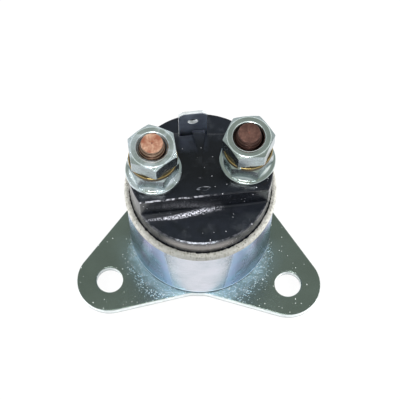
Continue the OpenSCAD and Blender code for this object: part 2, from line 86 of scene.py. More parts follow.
camera_data = bpy.data.cameras.new("camera")
camera_data.sensor_width = SENSOR_WIDTH
camera_data.lens = FOCAL_LENGTH
camera_data.clip_start, camera_data.clip_end = SEES_FROM, SEES_TO
camera = bpy.data.objects.new("camera", camera_data)
scene.collection.objects.link(camera)
facing = rotation(TURNED_LEFT, "Z") @ rotation(90 - LOOKS_DOWN, "X") @ rotation(ROLLED, "Z")
camera.matrix_world = Matrix.Translation(Vector(CAMERA_SPOT) * MM) @ facing
scene.camera = camera
print("camera", round(camera.location.length / MM), "mm from the contactor")

# %% [markdown]
# Materials are graphs of nodes, and the room and the floor need them first. A few helpers keep the graphs
# short to write. A value that goes into a node is either a plain one or comes out of another node, and one
# function takes both. A node's output knows which graph it is in, so the helpers that work on it don't have
# to be told.

# %% Shader helpers
def new_material(name):
    """An empty node material, its tree and its output node."""
    material = bpy.data.materials.new(name)
    material.use_nodes = True
    tree = material.node_tree
    tree.nodes.clear()
    return material, tree, tree.nodes.new("ShaderNodeOutputMaterial")


def is_socket(value):
    return isinstance(value, bpy.types.NodeSocket)


def feed(target, value):
    """Links another node's output to a socket, or writes a plain value into it."""
    if is_socket(value):
        value.id_data.links.new(value, target)
    else:
        target.default_value = value


def add_node(tree, kind, values=None, **settings):
    """A node with its settings and what goes into its sockets, by their names or numbers."""
    node = tree.nodes.new("ShaderNode" + kind)
    for key, value in settings.items():
        setattr(node, key, value)
    for key, value in (values or {}).items():
        feed(node.inputs[key], value)
    return node


def maths(operation, *values, clamp=False):
    """The result of a Math node on numbers and sockets."""
    tree = next(value.id_data for value in values if is_socket(value))
    return add_node(tree, "Math", dict(enumerate(values)), operation=operation, use_clamp=clamp).outputs[0]


def times(first, *others):
    for value in others:
        first = maths("MULTIPLY", first, value)
    return first


def faded(value, start, end, low=0.0, high=1.0):
    """low where value is at start and high where it is at end, evenly in between and clamped beyond."""
    return add_node(value.id_data, "MapRange", {0: value, 1: start, 2: end, 3: low, 4: high}).outputs[0]


def linear(red, green, blue):
    """A colour as a screen shows it, 0 to 255, in the linear values that shaders use."""
    def one(value):
        value /= 255
        return value / 12.92 if value <= 0.04045 else ((value + 0.055) / 1.055) ** 2.4
    return (one(red), one(green), one(blue), 1)


# %% [markdown]
# The stage is a white table. In a product photograph the table and the backdrop are burnt out to pure white,
# while the object itself is lit at a normal level. More light would burn out the object too. So the floor's
# material is split by the kind of ray that meets it: the camera, mirror-like metal and glass see it white,
# with only a trace of the object's own shadow left on it, and for all other light it is a plain pale floor.

# %% The white floor
FLOOR_HALF = 1.5
FLOOR_WHITE = 0.95


def white_floor():
    bm = bmesh.new()
    bmesh.ops.create_grid(bm, x_segments=1, y_segments=1, size=FLOOR_HALF)
    mesh = bpy.data.meshes.new("floor")
    bm.to_mesh(mesh)
    bm.free()
    floor = bpy.data.objects.new("floor", mesh)
    scene.collection.objects.link(floor)

    material, tree, output = new_material("white_floor")
    mesh.materials.append(material)
    plain = add_node(tree, "BsdfDiffuse", {"Color": (0.80, 0.80, 0.81, 1)})
    white = add_node(tree, "Emission", {"Color": (1, 1, 1, 1), "Strength": 1.0})
    ray = add_node(tree, "LightPath").outputs
    mirrored = maths("MAXIMUM", ray["Is Glossy Ray"], ray["Is Transmission Ray"])
    seen = maths("MAXIMUM", ray["Is Camera Ray"], mirrored)
    mix = add_node(tree, "MixShader", {0: times(seen, FLOOR_WHITE), 1: plain.outputs[0], 2: white.outputs[0]})
    feed(output.inputs["Surface"], mix.outputs[0])
    return floor


floor = white_floor()
print("floor", [round(v, 1) for v in floor.dimensions])

# %% [markdown]
# Bright metal has almost no colour of its own: it shows the room. The can's wall mirrors the white table,
# and so it looks nearly white. The plate and the tops of the nuts mirror what is above them. The room is a
# soft grey low down and a little darker overhead, which makes them look like grey metal. A ramp on the
# height of the direction that is looked in does that, and the camera alone sees the room white.

# %% The room and its lamps
LOW_GREY = 0.30, (0.52, 0.55, 0.58, 1)
HIGH_GREY = 0.75, (0.33, 0.355, 0.335, 1)
COOL_WHITE = (0.97, 0.98, 1.0)


def studio_world():
    world = bpy.data.worlds.new("studio")
    scene.world = world
    world.use_nodes = True
    tree = world.node_tree
    tree.nodes.clear()
    axes = add_node(tree, "SeparateXYZ", {0: add_node(tree, "TexCoord").outputs["Generated"]})
    ramp = add_node(tree, "ValToRGB", {0: axes.outputs["Z"]})
    ramp.color_ramp.interpolation = "EASE"
    for stop, (height, grey) in zip(ramp.color_ramp.elements, (LOW_GREY, HIGH_GREY)):
        stop.position, stop.color = height, grey
    room = add_node(tree, "Background", {"Color": ramp.outputs[0], "Strength": 1.0})
    white = add_node(tree, "Background", {"Color": (1, 1, 1, 1), "Strength": 1.0})
    ray = add_node(tree, "LightPath").outputs
    mix = add_node(tree, "MixShader", {0: ray["Is Camera Ray"], 1: room.outputs[0], 2: white.outputs[0]})
    add_node(tree, "OutputWorld", {"Surface": mix.outputs[0]})


def soft_box(name, spot, aim, size, power, colour=(1, 1, 1), mirrored=True):
    """An area lamp at a spot that faces a point, both in metres. What would mirror it may not see it."""
    lamp = bpy.data.lights.new(name, "AREA")
    lamp.shape = "RECTANGLE"
    lamp.size, lamp.size_y = size
    lamp.energy = power
    lamp.color = colour
    holder = bpy.data.objects.new(name, lamp)
    scene.collection.objects.link(holder)
    turned = (Vector(aim) - Vector(spot)).to_track_quat("-Z", "Y")
    holder.matrix_world = Matrix.Translation(spot) @ turned.to_matrix().to_4x4()
    holder.visible_glossy = mirrored
    return holder


studio_world()
lamps = [
    soft_box("camera_box", (-0.03, -0.155, 0.475), (0, 0, 0.02), (0.12, 0.09), 0.50, COOL_WHITE),
    soft_box("front_fill", (-0.03, -0.20, 0.46), (0, 0, 0.02), (0.26, 0.18), 0.62, COOL_WHITE, False),
    soft_box("left_fill", (-0.50, 0.00, 0.26), (0, 0, 0.03), (0.22, 0.30), 5.8, mirrored=False),
    soft_box("right_fill", (0.50, 0.04, 0.26), (0, 0, 0.03), (0.22, 0.30), 7.8, mirrored=False),
]
print("lamps:", ", ".join(lamp.name for lamp in lamps))

# %% [markdown]
# Most pieces of a contactor are round, so most of them begin the same way: half of the cross-section is
# drawn as a line and spun about the axis. The corners of that line are rounded before it is spun, with bevel
# on its vertices, because a rounded corner then turns into a clean rounded rim. The rest are flat shapes,
# pulled straight.

# %% Helpers for meshes
FULL = math.tau
ROUND_STEPS = 144
PAST = 1
MERGE = 0.0004 * MM


def rounded(bm, corners, offset, segments=3, of="EDGES"):
    """Rounds edges or vertices over, beginning at an offset from each, in mm."""
    bmesh.ops.bevel(bm, geom=corners, offset=offset * MM, offset_type="OFFSET", segments=segments,
                    profile=0.5, affect=of, material=-1)
    return bm


def outline(corners, closed=True):
    """A line in the XZ plane through corners (radius, height) or (radius, height, cut), in mm. The third
    number is how far from the corner its rounding starts."""
    bm = bmesh.new()
    verts = [bm.verts.new((corner[0] * MM, 0, corner[1] * MM)) for corner in corners]
    pairs = list(zip(verts, verts[1:])) + ([(verts[-1], verts[0])] if closed else [])
    for pair in pairs:
        bm.edges.new(pair)
    for vert, (_, _, *cut) in zip(verts, corners):
        if any(cut):
            rounded(bm, [vert], cut[0], 5, "VERTICES")
    return bm


def tidy(bm):
    """Merges doubles and turns every face outwards."""
    bmesh.ops.remove_doubles(bm, verts=bm.verts, dist=MERGE)
    bmesh.ops.dissolve_degenerate(bm, dist=MERGE / 2, edges=bm.edges)
    bmesh.ops.recalc_face_normals(bm, faces=bm.faces)
    return bm


def wound(bm, geom, angle, rise, steps, closed=False):
    """Spins geom about the Z axis while it rises, in mm. Gives back the ring that it ends in."""
    spin = bmesh.ops.spin(bm, geom=geom, cent=(0, 0, 0), axis=(0, 0, 1), dvec=(0, 0, rise * MM / steps),
                          angle=angle, steps=steps, use_merge=closed, use_duplicate=False)
    return spin["geom_last"]


def lathe(corners, steps=ROUND_STEPS):
    """The line through corners, spun once about the Z axis and closed."""
    bm = outline(corners)
    wound(bm, bm.verts[:] + bm.edges[:], FULL, 0, steps, closed=True)
    return tidy(bm)


def round_bar(radius, low, high, steps=ROUND_STEPS, low_cut=0, high_cut=0):
    """A bar on the Z axis from low to high, with its two rims rounded by the cuts."""
    return lathe([(0, low), (radius, low, low_cut), (radius, high, high_cut), (0, high)], steps)


def filled(bm):
    bmesh.ops.contextual_create(bm, geom=bm.edges[:])
    return bm


def pulled(bm, x=0, y=0, z=0):
    """The face in bm, pulled straight into a solid by so many mm."""
    grown = bmesh.ops.extrude_face_region(bm, geom=bm.faces[:])
    far = [item for item in grown["geom"] if isinstance(item, bmesh.types.BMVert)]
    bmesh.ops.translate(bm, verts=far, vec=(x * MM, y * MM, z * MM))
    return tidy(bm)


def moved(bm, x=0, y=0, z=0, turned=0):
    """Everything in bm turned about Z, in degrees, and then moved, in mm."""
    bmesh.ops.rotate(bm, verts=bm.verts, cent=(0, 0, 0), matrix=rotation(turned, "Z"))
    bmesh.ops.translate(bm, verts=bm.verts, vec=(x * MM, y * MM, z * MM))
    return bm


def slab(points, low, high):
    """A straight-sided block: points (x, y) in mm, drawn once round and pulled up from low to high."""
    bm = bmesh.new()
    bm.faces.new([bm.verts.new((x * MM, y * MM, low * MM)) for x, y in points])
    return pulled(bm, z=high - low)


def box_between(x, y, z):
    """A box from its lowest to its highest x, y and z, in mm."""
    return slab([(x[0], y[0]), (x[1], y[0]), (x[1], y[1]), (x[0], y[1])], *z)


# %% [markdown]
# Some shapes are easiest as one solid cut by another, such as a hexagon with its corners turned off in a
# lathe. A Boolean modifier does that. It is applied at once, on a copy of the mesh, so that nothing is left
# hanging on a helper object.

# %% Helpers for solids and finished pieces
CREASE = math.radians(32)


def as_object(name, bm):
    mesh = bpy.data.meshes.new(name)
    bm.to_mesh(mesh)
    bm.free()
    thing = bpy.data.objects.new(name, mesh)
    scene.collection.objects.link(thing)
    return thing


def combine(how, first, *others):
    """first with the others joined on, cut out or kept in common: UNION, DIFFERENCE or INTERSECT. All of them
    are bmeshes, and all are used up."""
    for other in others:
        pair = as_object("first", first), as_object("other", other)
        cut = pair[0].modifiers.new("cut", "BOOLEAN")
        cut.operation, cut.solver, cut.object = how, "EXACT", pair[1]
        first = bmesh.new()
        first.from_mesh(pair[0].evaluated_get(bpy.context.evaluated_depsgraph_get()).to_mesh())
        for thing in pair:
            mesh = thing.data
            bpy.data.objects.remove(thing)
            bpy.data.meshes.remove(mesh)
        bmesh.ops.remove_doubles(first, verts=first.verts, dist=MERGE)
    return first


def marked(bm, picked, finish_number=1):
    """Gives faces another finish of the piece, where picked says so of their middle, in mm, and normal."""
    bm.normal_update()
    for face in bm.faces:
        if picked(face.calc_center_median() / MM, face.normal):
            face.material_index = finish_number
    return bm


def finished(name, bm, node, *materials, body="housing"):
    """A finished piece: smooth but for its sharp edges, with its materials, in place of a CAD node. The
    modifier keeps the shading of large flat faces level where they run into small rounded edges."""
    loose_edges = sum(len(edge.link_faces) != 2 for edge in bm.edges)
    piece = as_object(name, bm)
    piece.data.polygons.foreach_set("use_smooth", [True] * len(piece.data.polygons))
    piece.data.set_sharp_from_angle(angle=CREASE)
    for material in materials:
        piece.data.materials.append(material)
    level = piece.modifiers.new("level", "WEIGHTED_NORMAL")
    level.keep_sharp = True
    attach(piece, body)
    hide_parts(node)
    print(name, "has", len(piece.data.polygons), "faces and", loose_edges, "open edges")
    return piece


# %% [markdown]
# A few measures are needed in more than one place. Heights are read from the CAD pieces' boxes, so that they
# follow if the CAD model changes, and angles and distances are the ones that the CAD source names.

# %% Shared measures, in mm
CAP_TURN = 8.2
STUD_X = 10.5
STUD_R = 2.95
STUD_TIP_H, STUD_TIP_IN = 2.7, 0.6
PLATE_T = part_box("mounting_plate")[1].z / MM
SHOULDER = 31.5
CAP_R = 16.25
BLOCK_FRONT = 7.6
BLOCK_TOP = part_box("flange_nuts")[0].z / MM
STUD_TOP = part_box("left_stud")[1].z / MM


def stud_centre(side):
    """Where the left stud, -1, or the right stud, 1, stands once the cap is turned."""
    turn = math.radians(CAP_TURN)
    return side * STUD_X * math.cos(turn), side * STUD_X * math.sin(turn)


print("block top", round(BLOCK_TOP, 2), "stud top", round(STUD_TOP, 2))

# %% [markdown]
# Every finish on this object is made of the same few effects: soft patches where the plating is thicker or
# thinner, small specks of dust, fine lines that a tool left, and short ticks across a rolled edge. Another
# tells how far out, which way round and how high a point lies about an upright axis. Each effect is one node
# group, so a change to it changes every material that uses it. All of them work on the object's own
# coordinates, counted in millimetres, and so they stay at their real size.

# %% The effects that the finishes share
NOISE_RANGE = 0.3, 0.7
ALONG_LINES = (0.03, 0.03, 1)


def new_group(name, inputs, outputs):
    """An empty node group, what it is given and what it puts out: plain numbers, all of them."""
    tree = bpy.data.node_groups.new(name, "ShaderNodeTree")
    for label, value in inputs.items():
        tree.interface.new_socket(label, in_out="INPUT", socket_type="NodeSocketFloat").default_value = value
    for label in outputs:
        tree.interface.new_socket(label, in_out="OUTPUT", socket_type="NodeSocketFloat")
    return tree, tree.nodes.new("NodeGroupInput").outputs, tree.nodes.new("NodeGroupOutput").inputs


def spot_in_mm(tree, stretch=(1, 1, 1)):
    """Where a point lies on the object, in mm, stretched along the axes."""
    values = {0: add_node(tree, "TexCoord").outputs["Object"], 1: [share / MM for share in stretch]}
    return add_node(tree, "VectorMath", values, operation="MULTIPLY").outputs[0]


def noise_value(vector, per_mm, detail, rough=0.6):
    """Soft noise, spread so that it reaches from 0 to 1."""
    noise = add_node(vector.id_data, "TexNoise", {"Vector": vector, "Scale": per_mm, "Detail": detail,
                                                  "Roughness": rough})
    return faded(noise.outputs["Fac"], *NOISE_RANGE)


def patches_group():
    tree, given, result = new_group("patches", {"Per mm": 0.4, "Detail": 3}, ["Value"])
    feed(result[0], noise_value(spot_in_mm(tree), given["Per mm"], given["Detail"]))
    return tree


def specks_group():
    """Round dots of different sizes, in a share of the cells that the surface is split into."""
    tree, given, result = new_group("specks", {"Per mm": 2.0, "Share": 0.2, "Size": 0.2}, ["Mask"])
    cells = add_node(tree, "TexVoronoi", {"Vector": spot_in_mm(tree), "Scale": given["Per mm"]}).outputs
    chance, growth, _ = add_node(tree, "SeparateColor", {0: cells["Color"]}).outputs
    picked = maths("LESS_THAN", chance, given["Share"])
    radius = times(given["Size"], faded(growth, 0, 1, 0.4, 1.0))
    feed(result[0], times(picked, faded(cells["Distance"], times(radius, 0.5), radius, 1.0, 0.0)))
    return tree


def drawn_lines_group():
    tree, given, result = new_group("drawn_lines", {"Per mm": 3.0}, ["Value"])
    feed(result[0], noise_value(spot_in_mm(tree, ALONG_LINES), given["Per mm"], 2.0))
    return tree


def round_axis_group():
    """The distance from an upright axis, in mm, the angle about it, in radians, and the height, in mm."""
    centre = {"Centre X": 0, "Centre Y": 0}
    tree, given, result = new_group("round_axis", centre, ["Distance", "Angle", "Height"])
    axes = add_node(tree, "SeparateXYZ", {0: spot_in_mm(tree)}).outputs
    x = maths("SUBTRACT", axes["X"], given["Centre X"])
    y = maths("SUBTRACT", axes["Y"], given["Centre Y"])
    far = maths("SQRT", maths("ADD", times(x, x), times(y, y)))
    for target, value in zip(result, (far, maths("ARCTAN2", y, x), axes["Z"])):
        feed(target, value)
    return tree


ROUND_AXIS = round_axis_group()


def round_axis(tree, centre=(0, 0)):
    """The three outputs of the round_axis group about a centre, in mm."""
    values = {"Centre X": centre[0], "Centre Y": centre[1]}
    return add_node(tree, "Group", values, node_tree=ROUND_AXIS).outputs


def ray_noise(far, angle, per_turn, along, detail, rough=0.6):
    """Noise in rays from an axis. The angle goes in as a point on a circle, so that there is no seam."""
    x, y = (times(maths(wave, angle), per_turn) for wave in ("COSINE", "SINE"))
    spot = add_node(far.id_data, "CombineXYZ", {0: x, 1: y, 2: times(far, along)})
    return noise_value(spot.outputs[0], 1.0, detail, rough)


def ticks_group():
    """Short marks that run outwards from an upright axis."""
    tree, given, result = new_group("ticks", {"Per radian": 60.0, "Along": 0.6}, ["Value"])
    far, angle, _ = round_axis(tree)
    feed(result[0], ray_noise(far, angle, given["Per radian"], given["Along"], 1.0))
    return tree


PATCHES, SPECKS, DRAWN_LINES, TICKS = patches_group(), specks_group(), drawn_lines_group(), ticks_group()
print("effects:", ", ".join(group.name for group in (ROUND_AXIS, PATCHES, SPECKS, DRAWN_LINES, TICKS)))

# %% [markdown]
# Plating, moulding and copper differ in colour and gloss, but they are built alike: two tones in soft
# patches, a roughness that varies with the same patches, dust on top, and a shallow bump. Dust isn't metal,
# so where it lies the surface is no mirror. One class builds them all, and what is special about a finish is
# added to it layer by layer.

# %% A finish, and the layers that can be added to it
def between(mask, low, high):
    """low where the mask is 0 and high where it is 1, each a colour on a screen or a socket with one."""
    low, high = (value if is_socket(value) else linear(*value) for value in (low, high))
    return add_node(mask.id_data, "Mix", {0: mask, 6: low, 7: high}, data_type="RGBA").outputs[2]


def close_to(value, place, gone, full, strength=1.0):
    """strength where value is within full of a place, and nothing from gone outwards."""
    return faded(maths("ABSOLUTE", maths("SUBTRACT", value, place)), gone, full, 0.0, strength)


class Finish:
    """A material with one Principled shader, whose colour, gloss, metal and bump are built up in layers."""

    def __init__(self, name, tones, metallic, roughness, per_mm, detail=3, ior=1.5):
        self.material, self.tree, output = new_material(name)
        self.shader = add_node(self.tree, "BsdfPrincipled", {"IOR": ior})
        feed(output.inputs["Surface"], self.shader.outputs[0])
        cloud = self.patches(per_mm, detail)
        self.colour = between(cloud, *tones)
        self.rough = faded(cloud, 0, 1, *roughness)
        self.metal = metallic
        self.normal = None

    def effect(self, group, values):
        return add_node(self.tree, "Group", values, node_tree=group).outputs[0]

    def patches(self, per_mm, detail):
        return self.effect(PATCHES, {"Per mm": per_mm, "Detail": detail})

    def specks(self, per_mm, share, size):
        return self.effect(SPECKS, {"Per mm": per_mm, "Share": share, "Size": size})

    def cover(self, mask, colour, roughness, metallic=0.0):
        """Lays something over the finish where the mask is 1."""
        self.colour = between(mask, self.colour, colour)
        self.rough = faded(mask, 0, 1, self.rough, roughness)
        self.metal = faded(mask, 0, 1, self.metal, metallic)
        return self

    def dust(self, per_mm, share, size, colour):
        return self.cover(self.specks(per_mm, share, size), colour, 0.6)

    def relief(self, height, depth):
        """Raises the surface by a depth in mm where the height is 1."""
        bump = add_node(self.tree, "Bump", {"Distance": depth * MM, "Height": height})
        if self.normal:
            feed(bump.inputs["Normal"], self.normal)
        self.normal = bump.outputs[0]
        return self

    def lumps(self, per_mm, depth):
        return self.relief(self.patches(per_mm, 2), depth)

    def lines(self, per_mm, depth):
        return self.relief(self.effect(DRAWN_LINES, {"Per mm": per_mm}), depth)

    def done(self):
        for name, value in (("Base Color", self.colour), ("Roughness", self.rough), ("Metallic", self.metal),
                            ("Normal", self.normal)):
            if value is not None:
                feed(self.shader.inputs[name], value)
        return self.material


def simple_finish(name, *look, **layers):
    """A finish of two tones with one layer or more on it, named as Finish names them."""
    finish = Finish(name, *look)
    for layer, amounts in layers.items():
        getattr(finish, layer)(*amounts)
    print("finish", name, "with", " and ".join(layers) or "no layers")
    return finish.done()


# %% [markdown]
# The plate is the dullest of the zinc parts. Round the can's foot its light is painted: a pale blue haze and
# small pale specks of glitter stand in for the light that the can throws down on the zinc. The specks stand
# close together near the can. In front they thin out over eight millimetres, and at the can's sides over one.

# %% The plate's finishes
# where the painted glow and glitter round the can's foot begin, reach and end, in mm
GLOW_FROM = 17.0
GLOW_REACH = 1.0, 8.0
HAZE_END = 22.6
PAINTED_GLITTER = (4.8, 0.62, 0.66, (178, 214, 238)), (3.8, 0.44, 0.54, (238, 248, 255))


def plate_zinc():
    finish = Finish("plate_zinc", ((143, 156, 147), (153, 167, 158)), 1.0, (0.22, 0.26), 0.12)
    far, angle, _ = round_axis(finish.tree)
    backward = maths("SINE", angle)
    front = faded(backward, -0.12, -0.60)
    haze = times(front, maths("POWER", faded(far, HAZE_END, GLOW_FROM), 1.25))
    # painted light: a pale blue haze in front of the can's foot
    finish.cover(times(haze, 0.30), (122, 182, 216), 0.5, 0.2)
    out = maths("DIVIDE", maths("SUBTRACT", far, GLOW_FROM), faded(backward, -0.20, -0.90, *GLOW_REACH))
    near = times(faded(front, 0.0, 0.3), maths("POWER", maths("SUBTRACT", 1.0, out, clamp=True), 1.3))
    strength = faded(near, 0.0, 0.5, 0.4, 1.0)
    # painted highlights: the glitter specks, thickest near the can
    for per_mm, share, size, colour in PAINTED_GLITTER:
        glitter = finish.specks(per_mm, times(near, share), size)
        finish.cover(times(glitter, strength), colour, 0.5)
    return finish.dust(1.5, 0.22, 0.24, (240, 244, 242)).lumps(3.0, 0.008).done()


def cut_zinc():
    """The plate's side, torn by the punch: paler and duller than the plating, and dark at the foot, which is
    painted shade.
    """
    finish = Finish("cut_zinc", ((200, 207, 206), (228, 232, 232)), 0.4, (0.4, 0.5), 1.0, 4)
    _, _, high = round_axis(finish.tree)
    # painted shade: the side darkens towards its foot, where it meets the floor
    return finish.cover(faded(high, 0.50, 0.15, 0.0, 0.8), (112, 118, 118), 0.6, 0.2).done()


# %% [markdown]
# The can is the brightest. Its light is painted by the angle round it. A plain silver band runs up its front,
# a painted reflection of the table, and gets narrower towards the foot. Beside the band and at the back the
# zinc is tinted blue and lilac in patches, with a painted pale blue highlight at the band's edge, and the
# sides are painted paler towards the rim. At the foot a pale line is a painted highlight, with a dark line of
# painted shade below it.

# %% The can's finishes
# the silver band up the can's front is a painted reflection of the table: how wide it is at its foot and top
BAND_HALF = 0.32, 0.44
BAND_FOOT, BAND_TOP = 2.0, 22.0
PAINTED_FOOT_GLINT = 1.45, 1.20
PAINTED_FOOT_SHADE = 0.95, 0.80


def can_zinc():
    finish = Finish("can_zinc", ((190, 196, 206), (213, 215, 224)), 1.0, (0.17, 0.24), 0.2, 4)
    _, angle, high = round_axis(finish.tree)
    back = faded(maths("SINE", angle), 0.0, 0.6)
    sideways = maths("ABSOLUTE", maths("COSINE", angle))
    # painted reflection: the band keeps the silver tone, and the sides and the back beyond it are tinted
    past_band = maths("SUBTRACT", sideways, faded(high, BAND_FOOT, BAND_TOP, *BAND_HALF))
    side = maths("MAXIMUM", faded(past_band, -0.02, 0.08), back)
    side_tint = between(finish.patches(0.16, 3), (126, 184, 204), (176, 168, 208))
    finish.colour = between(times(side, 0.85), finish.colour, side_tint)
    # painted highlight: a pale blue edge to the band
    edge = times(faded(past_band, -0.01, 0.04), faded(past_band, 0.34, 0.06, 0.0, 0.45))
    finish.cover(times(edge, maths("SUBTRACT", 1.0, back)), (150, 184, 226), 0.45, 0.5)
    # painted light: the tinted sides paler towards the rim
    finish.cover(times(side, faded(high, 10.0, BAND_TOP, 0.0, 0.18)), (176, 172, 198), 0.4, 0.3)
    # painted highlight: a pale line just over the plate, and painted shade: a dark line below it at the foot
    over_plate = maths("SUBTRACT", high, PLATE_T)
    finish.cover(faded(over_plate, *PAINTED_FOOT_GLINT, 0.0, 0.6), (206, 232, 244), 0.45)
    finish.cover(faded(over_plate, *PAINTED_FOOT_SHADE, 0.0, 0.9), (24, 44, 56), 0.5, 1.0)
    return finish.lines(6.0, 0.016).lines(1.3, 0.006).dust(1.5, 0.04, 0.10, (150, 156, 168)).done()


def rim_zinc():
    """The rolled rim: rubbed dull, with ticks across it, and a little darker in front, which is painted
    shade.
    """
    finish = Finish("rim_zinc", ((146, 145, 140), (172, 170, 163)), 0.15, (0.45, 0.60), 1.2, 4)
    _, angle, _ = round_axis(finish.tree)
    # painted shade: the front of the rim darker
    finish.cover(faded(maths("SINE", angle), -0.55, -0.95, 0.0, 0.6), (134, 134, 128), 0.55, 0.15)
    ticks = finish.effect(TICKS, {"Per radian": 45, "Along": 1.5})
    finish.cover(faded(ticks, 0.50, 0.85, 0.0, 0.6), (120, 118, 108), 0.6, 0.3)
    finish.relief(ticks, 0.05)
    return finish.dust(2.0, 0.6, 0.50, (88, 86, 80)).lumps(2.5, 0.03).done()


# %% [markdown]
# The nuts' tops are turned, with two bright rings where the turned faces end, painted as highlights. Their
# flats get a darker and bluer copy of the zinc, as painted shade. No light gets down to the threads in their
# bores, and they get a near-black finish of painted shade. So a nut has three finishes. The washers are
# yellow zinc, with a dark finish of painted shade on the top and the outside of their wire, and the blade is
# plated, but torn, pale and dull at its edges, where it was punched out. Those need no more than two tones
# and a few lumps.

# %% The finishes of the nuts, washers and blade
RING_GLINTS = (3.62, 0.13, 0.45), (4.75, 0.14, 0.35)
GREY_DUST = 2.0, 0.05, 0.12, (150, 158, 154)


def nut_zinc():
    """Bright zinc, with its two rings of painted highlight, and paler in patches on the left nuts."""
    finish = Finish("nut_zinc", ((190, 203, 198), (214, 224, 220)), 1.0, (0.14, 0.21), 0.3, 4)
    far = maths("MINIMUM", *(round_axis(finish.tree, stud_centre(side))["Distance"] for side in (-1, 1)))
    # painted highlights: two pale rings on each nut's top
    for radius, width, strength in RING_GLINTS:
        finish.cover(close_to(far, radius, width, width * 0.4, strength), (226, 236, 238), 0.4, 0.3)
    left = faded(maths("COSINE", round_axis(finish.tree)["Angle"]), 0.0, -0.5)
    pale = faded(finish.patches(0.35, 3), 0.35, 0.65, 0.1, 0.5)
    finish.cover(times(left, pale), (206, 216, 226), 0.35, 0.6)
    return finish.dust(*GREY_DUST).lumps(0.9, 0.010).done()


# painted shade: a darker, bluer copy of the nuts' zinc for their flats
NUT_FLATS_SHADE = simple_finish("nut_flats", ((168, 180, 184), (194, 204, 207)), 1.0, (0.20, 0.28), 0.3, 4,
                          dust=GREY_DUST, lumps=(0.9, 0.012))
# painted shade: a near-black finish for the nuts' bores
NUT_BORE_SHADE = simple_finish("nut_bore_shade", ((34, 34, 40), (66, 64, 68)), 0.5, (0.35, 0.5), 1.5, 4)
YELLOW_ZINC = simple_finish("yellow_zinc", ((176, 148, 84), (222, 200, 140)), 1.0, (0.16, 0.24), 1.0, 4,
                            lumps=(1.6, 0.012))
# painted shade: a dark finish for the top and the outside of the washers' wire
WASHER_PAINTED_SHADE = simple_finish("washer_painted_shade", ((58, 52, 40), (92, 80, 54)), 0.6, (0.35, 0.5), 1.2, 4)
BLADE_PLATING = simple_finish("blade_plating", ((178, 190, 214), (204, 215, 236)), 1.0, (0.38, 0.48), 0.5, 4,
                              dust=(2.0, 0.08, 0.12, (190, 194, 200)), lumps=(1.0, 0.006))
BLADE_EDGE = simple_finish("blade_edge", ((172, 176, 177), (200, 204, 205)), 0.5, (0.4, 0.5), 1.0, 4)

# %% [markdown]
# A stud is copper that is bright where the rod was cut off, with scratches that run outwards and a dark mark
# in the middle, and brown on the threads, where only the crests are rubbed bright. Towards the tip the
# crests lie further in, so the tip's slope is added to the distance from the axis before the crests are
# picked out.

# %% The studs' finish
CUT_DEPTH = 0.16, 0.04
CREST_IN = 0.09, 0.01
CENTRE_MARK = 0.26, 0.12


def stud_copper(name, faces, flanks, centre):
    """faces and flanks are each a dark and a light tone, for the cut end and for the threads."""
    finish = Finish(name, flanks, 1.0, (0.28, 0.42), 0.8, 5)
    far, angle, high = round_axis(finish.tree, centre)
    cut = faded(high, *(STUD_TOP - depth for depth in CUT_DEPTH))
    slope = faded(high, STUD_TOP - STUD_TIP_H, STUD_TOP, 0.0, STUD_TIP_IN)
    crest = faded(maths("ADD", far, slope), *(STUD_R - depth for depth in CREST_IN), 0.0, 0.45)
    finish.cover(times(crest, maths("SUBTRACT", 1.0, cut)), faces[1], 0.4, 0.8)
    scratch = times(ray_noise(far, angle, 2.6, 0.9, 6.0, 0.75), finish.patches(0.5, 2))
    finish.cover(cut, between(faded(scratch, 0.05, 0.65), *faces), 0.42, 0.65)
    finish.cover(times(cut, faded(far, *CENTRE_MARK)), (90, 54, 44), 0.6)
    return finish.relief(times(cut, scratch), 0.03).lumps(3.0, 0.010).done()


# %% [markdown]
# The cap's moulding is glossy, with dust on it. In front of the block a streak of glints is painted on the
# shoulder as a highlight: a band of grains about a line that runs out to the left. The block's front edge and
# the cap's lip get painted highlights in dashes, and the wall below the lip a pale band of painted
# reflection.
# A small oval on the block is the scar of the gate that the plastic was pressed in through, with a broken
# pale line of painted highlight along it. What lies on the block and in front of it is placed in the cap's
# own coordinates, with its turn taken off.

# %% The cap's finish
GATE_SCAR = (0.1, -5.75)
GATE_SCAR_HALF = (1.45, 0.5)
# where the painted streak of glints runs, in the cap's own coordinates
STREAK_RIGHT, STREAK_LEFT = (2.0, -8.0), (-7.0, -9.1)
STREAK_HALF = 0.35, 0.80
REFLECTION_BAND_Z = 29.0


def glint_streak(finish, across, along, high):
    """A painted highlight: a streak of glints on the front shoulder, thinning out to both ends."""
    middle = faded(across, STREAK_RIGHT[0], STREAK_LEFT[0], STREAK_RIGHT[1], STREAK_LEFT[1])
    half = faded(across, -12.0, -4.0, *STREAK_HALF)
    off = maths("ABSOLUTE", maths("SUBTRACT", along, middle))
    band = faded(maths("DIVIDE", off, half), 1.0, 0.15)
    ends = times(faded(across, 4.5, -1.0), faded(across, -13.0, -5.5, 0.25, 1.0))
    shoulder = times(faded(high, SHOULDER + 0.6, SHOULDER + 0.1), faded(high, SHOULDER - 0.5, SHOULDER - 0.2))
    cloud = faded(finish.patches(2.6, 4), 0.42, 0.75)
    glints = maths("ADD", finish.specks(4.5, 0.55, 0.6), cloud, clamp=True)
    # painted highlight: the streak of glints
    finish.cover(times(band, ends, shoulder, glints), (232, 232, 242), 0.5)


def block_edge(finish, across, along, high, dashes):
    """A painted highlight in dashes on the upper edge of the block's front wall."""
    at_wall = close_to(along, 0.1 - BLOCK_FRONT, 0.24, 0.08)
    crest = times(at_wall, faded(high, BLOCK_TOP - 0.4, BLOCK_TOP - 0.15), faded(across, 3.0, -3.0))
    # painted highlight along the block's edge
    finish.cover(times(crest, dashes), (206, 206, 214), 0.4)


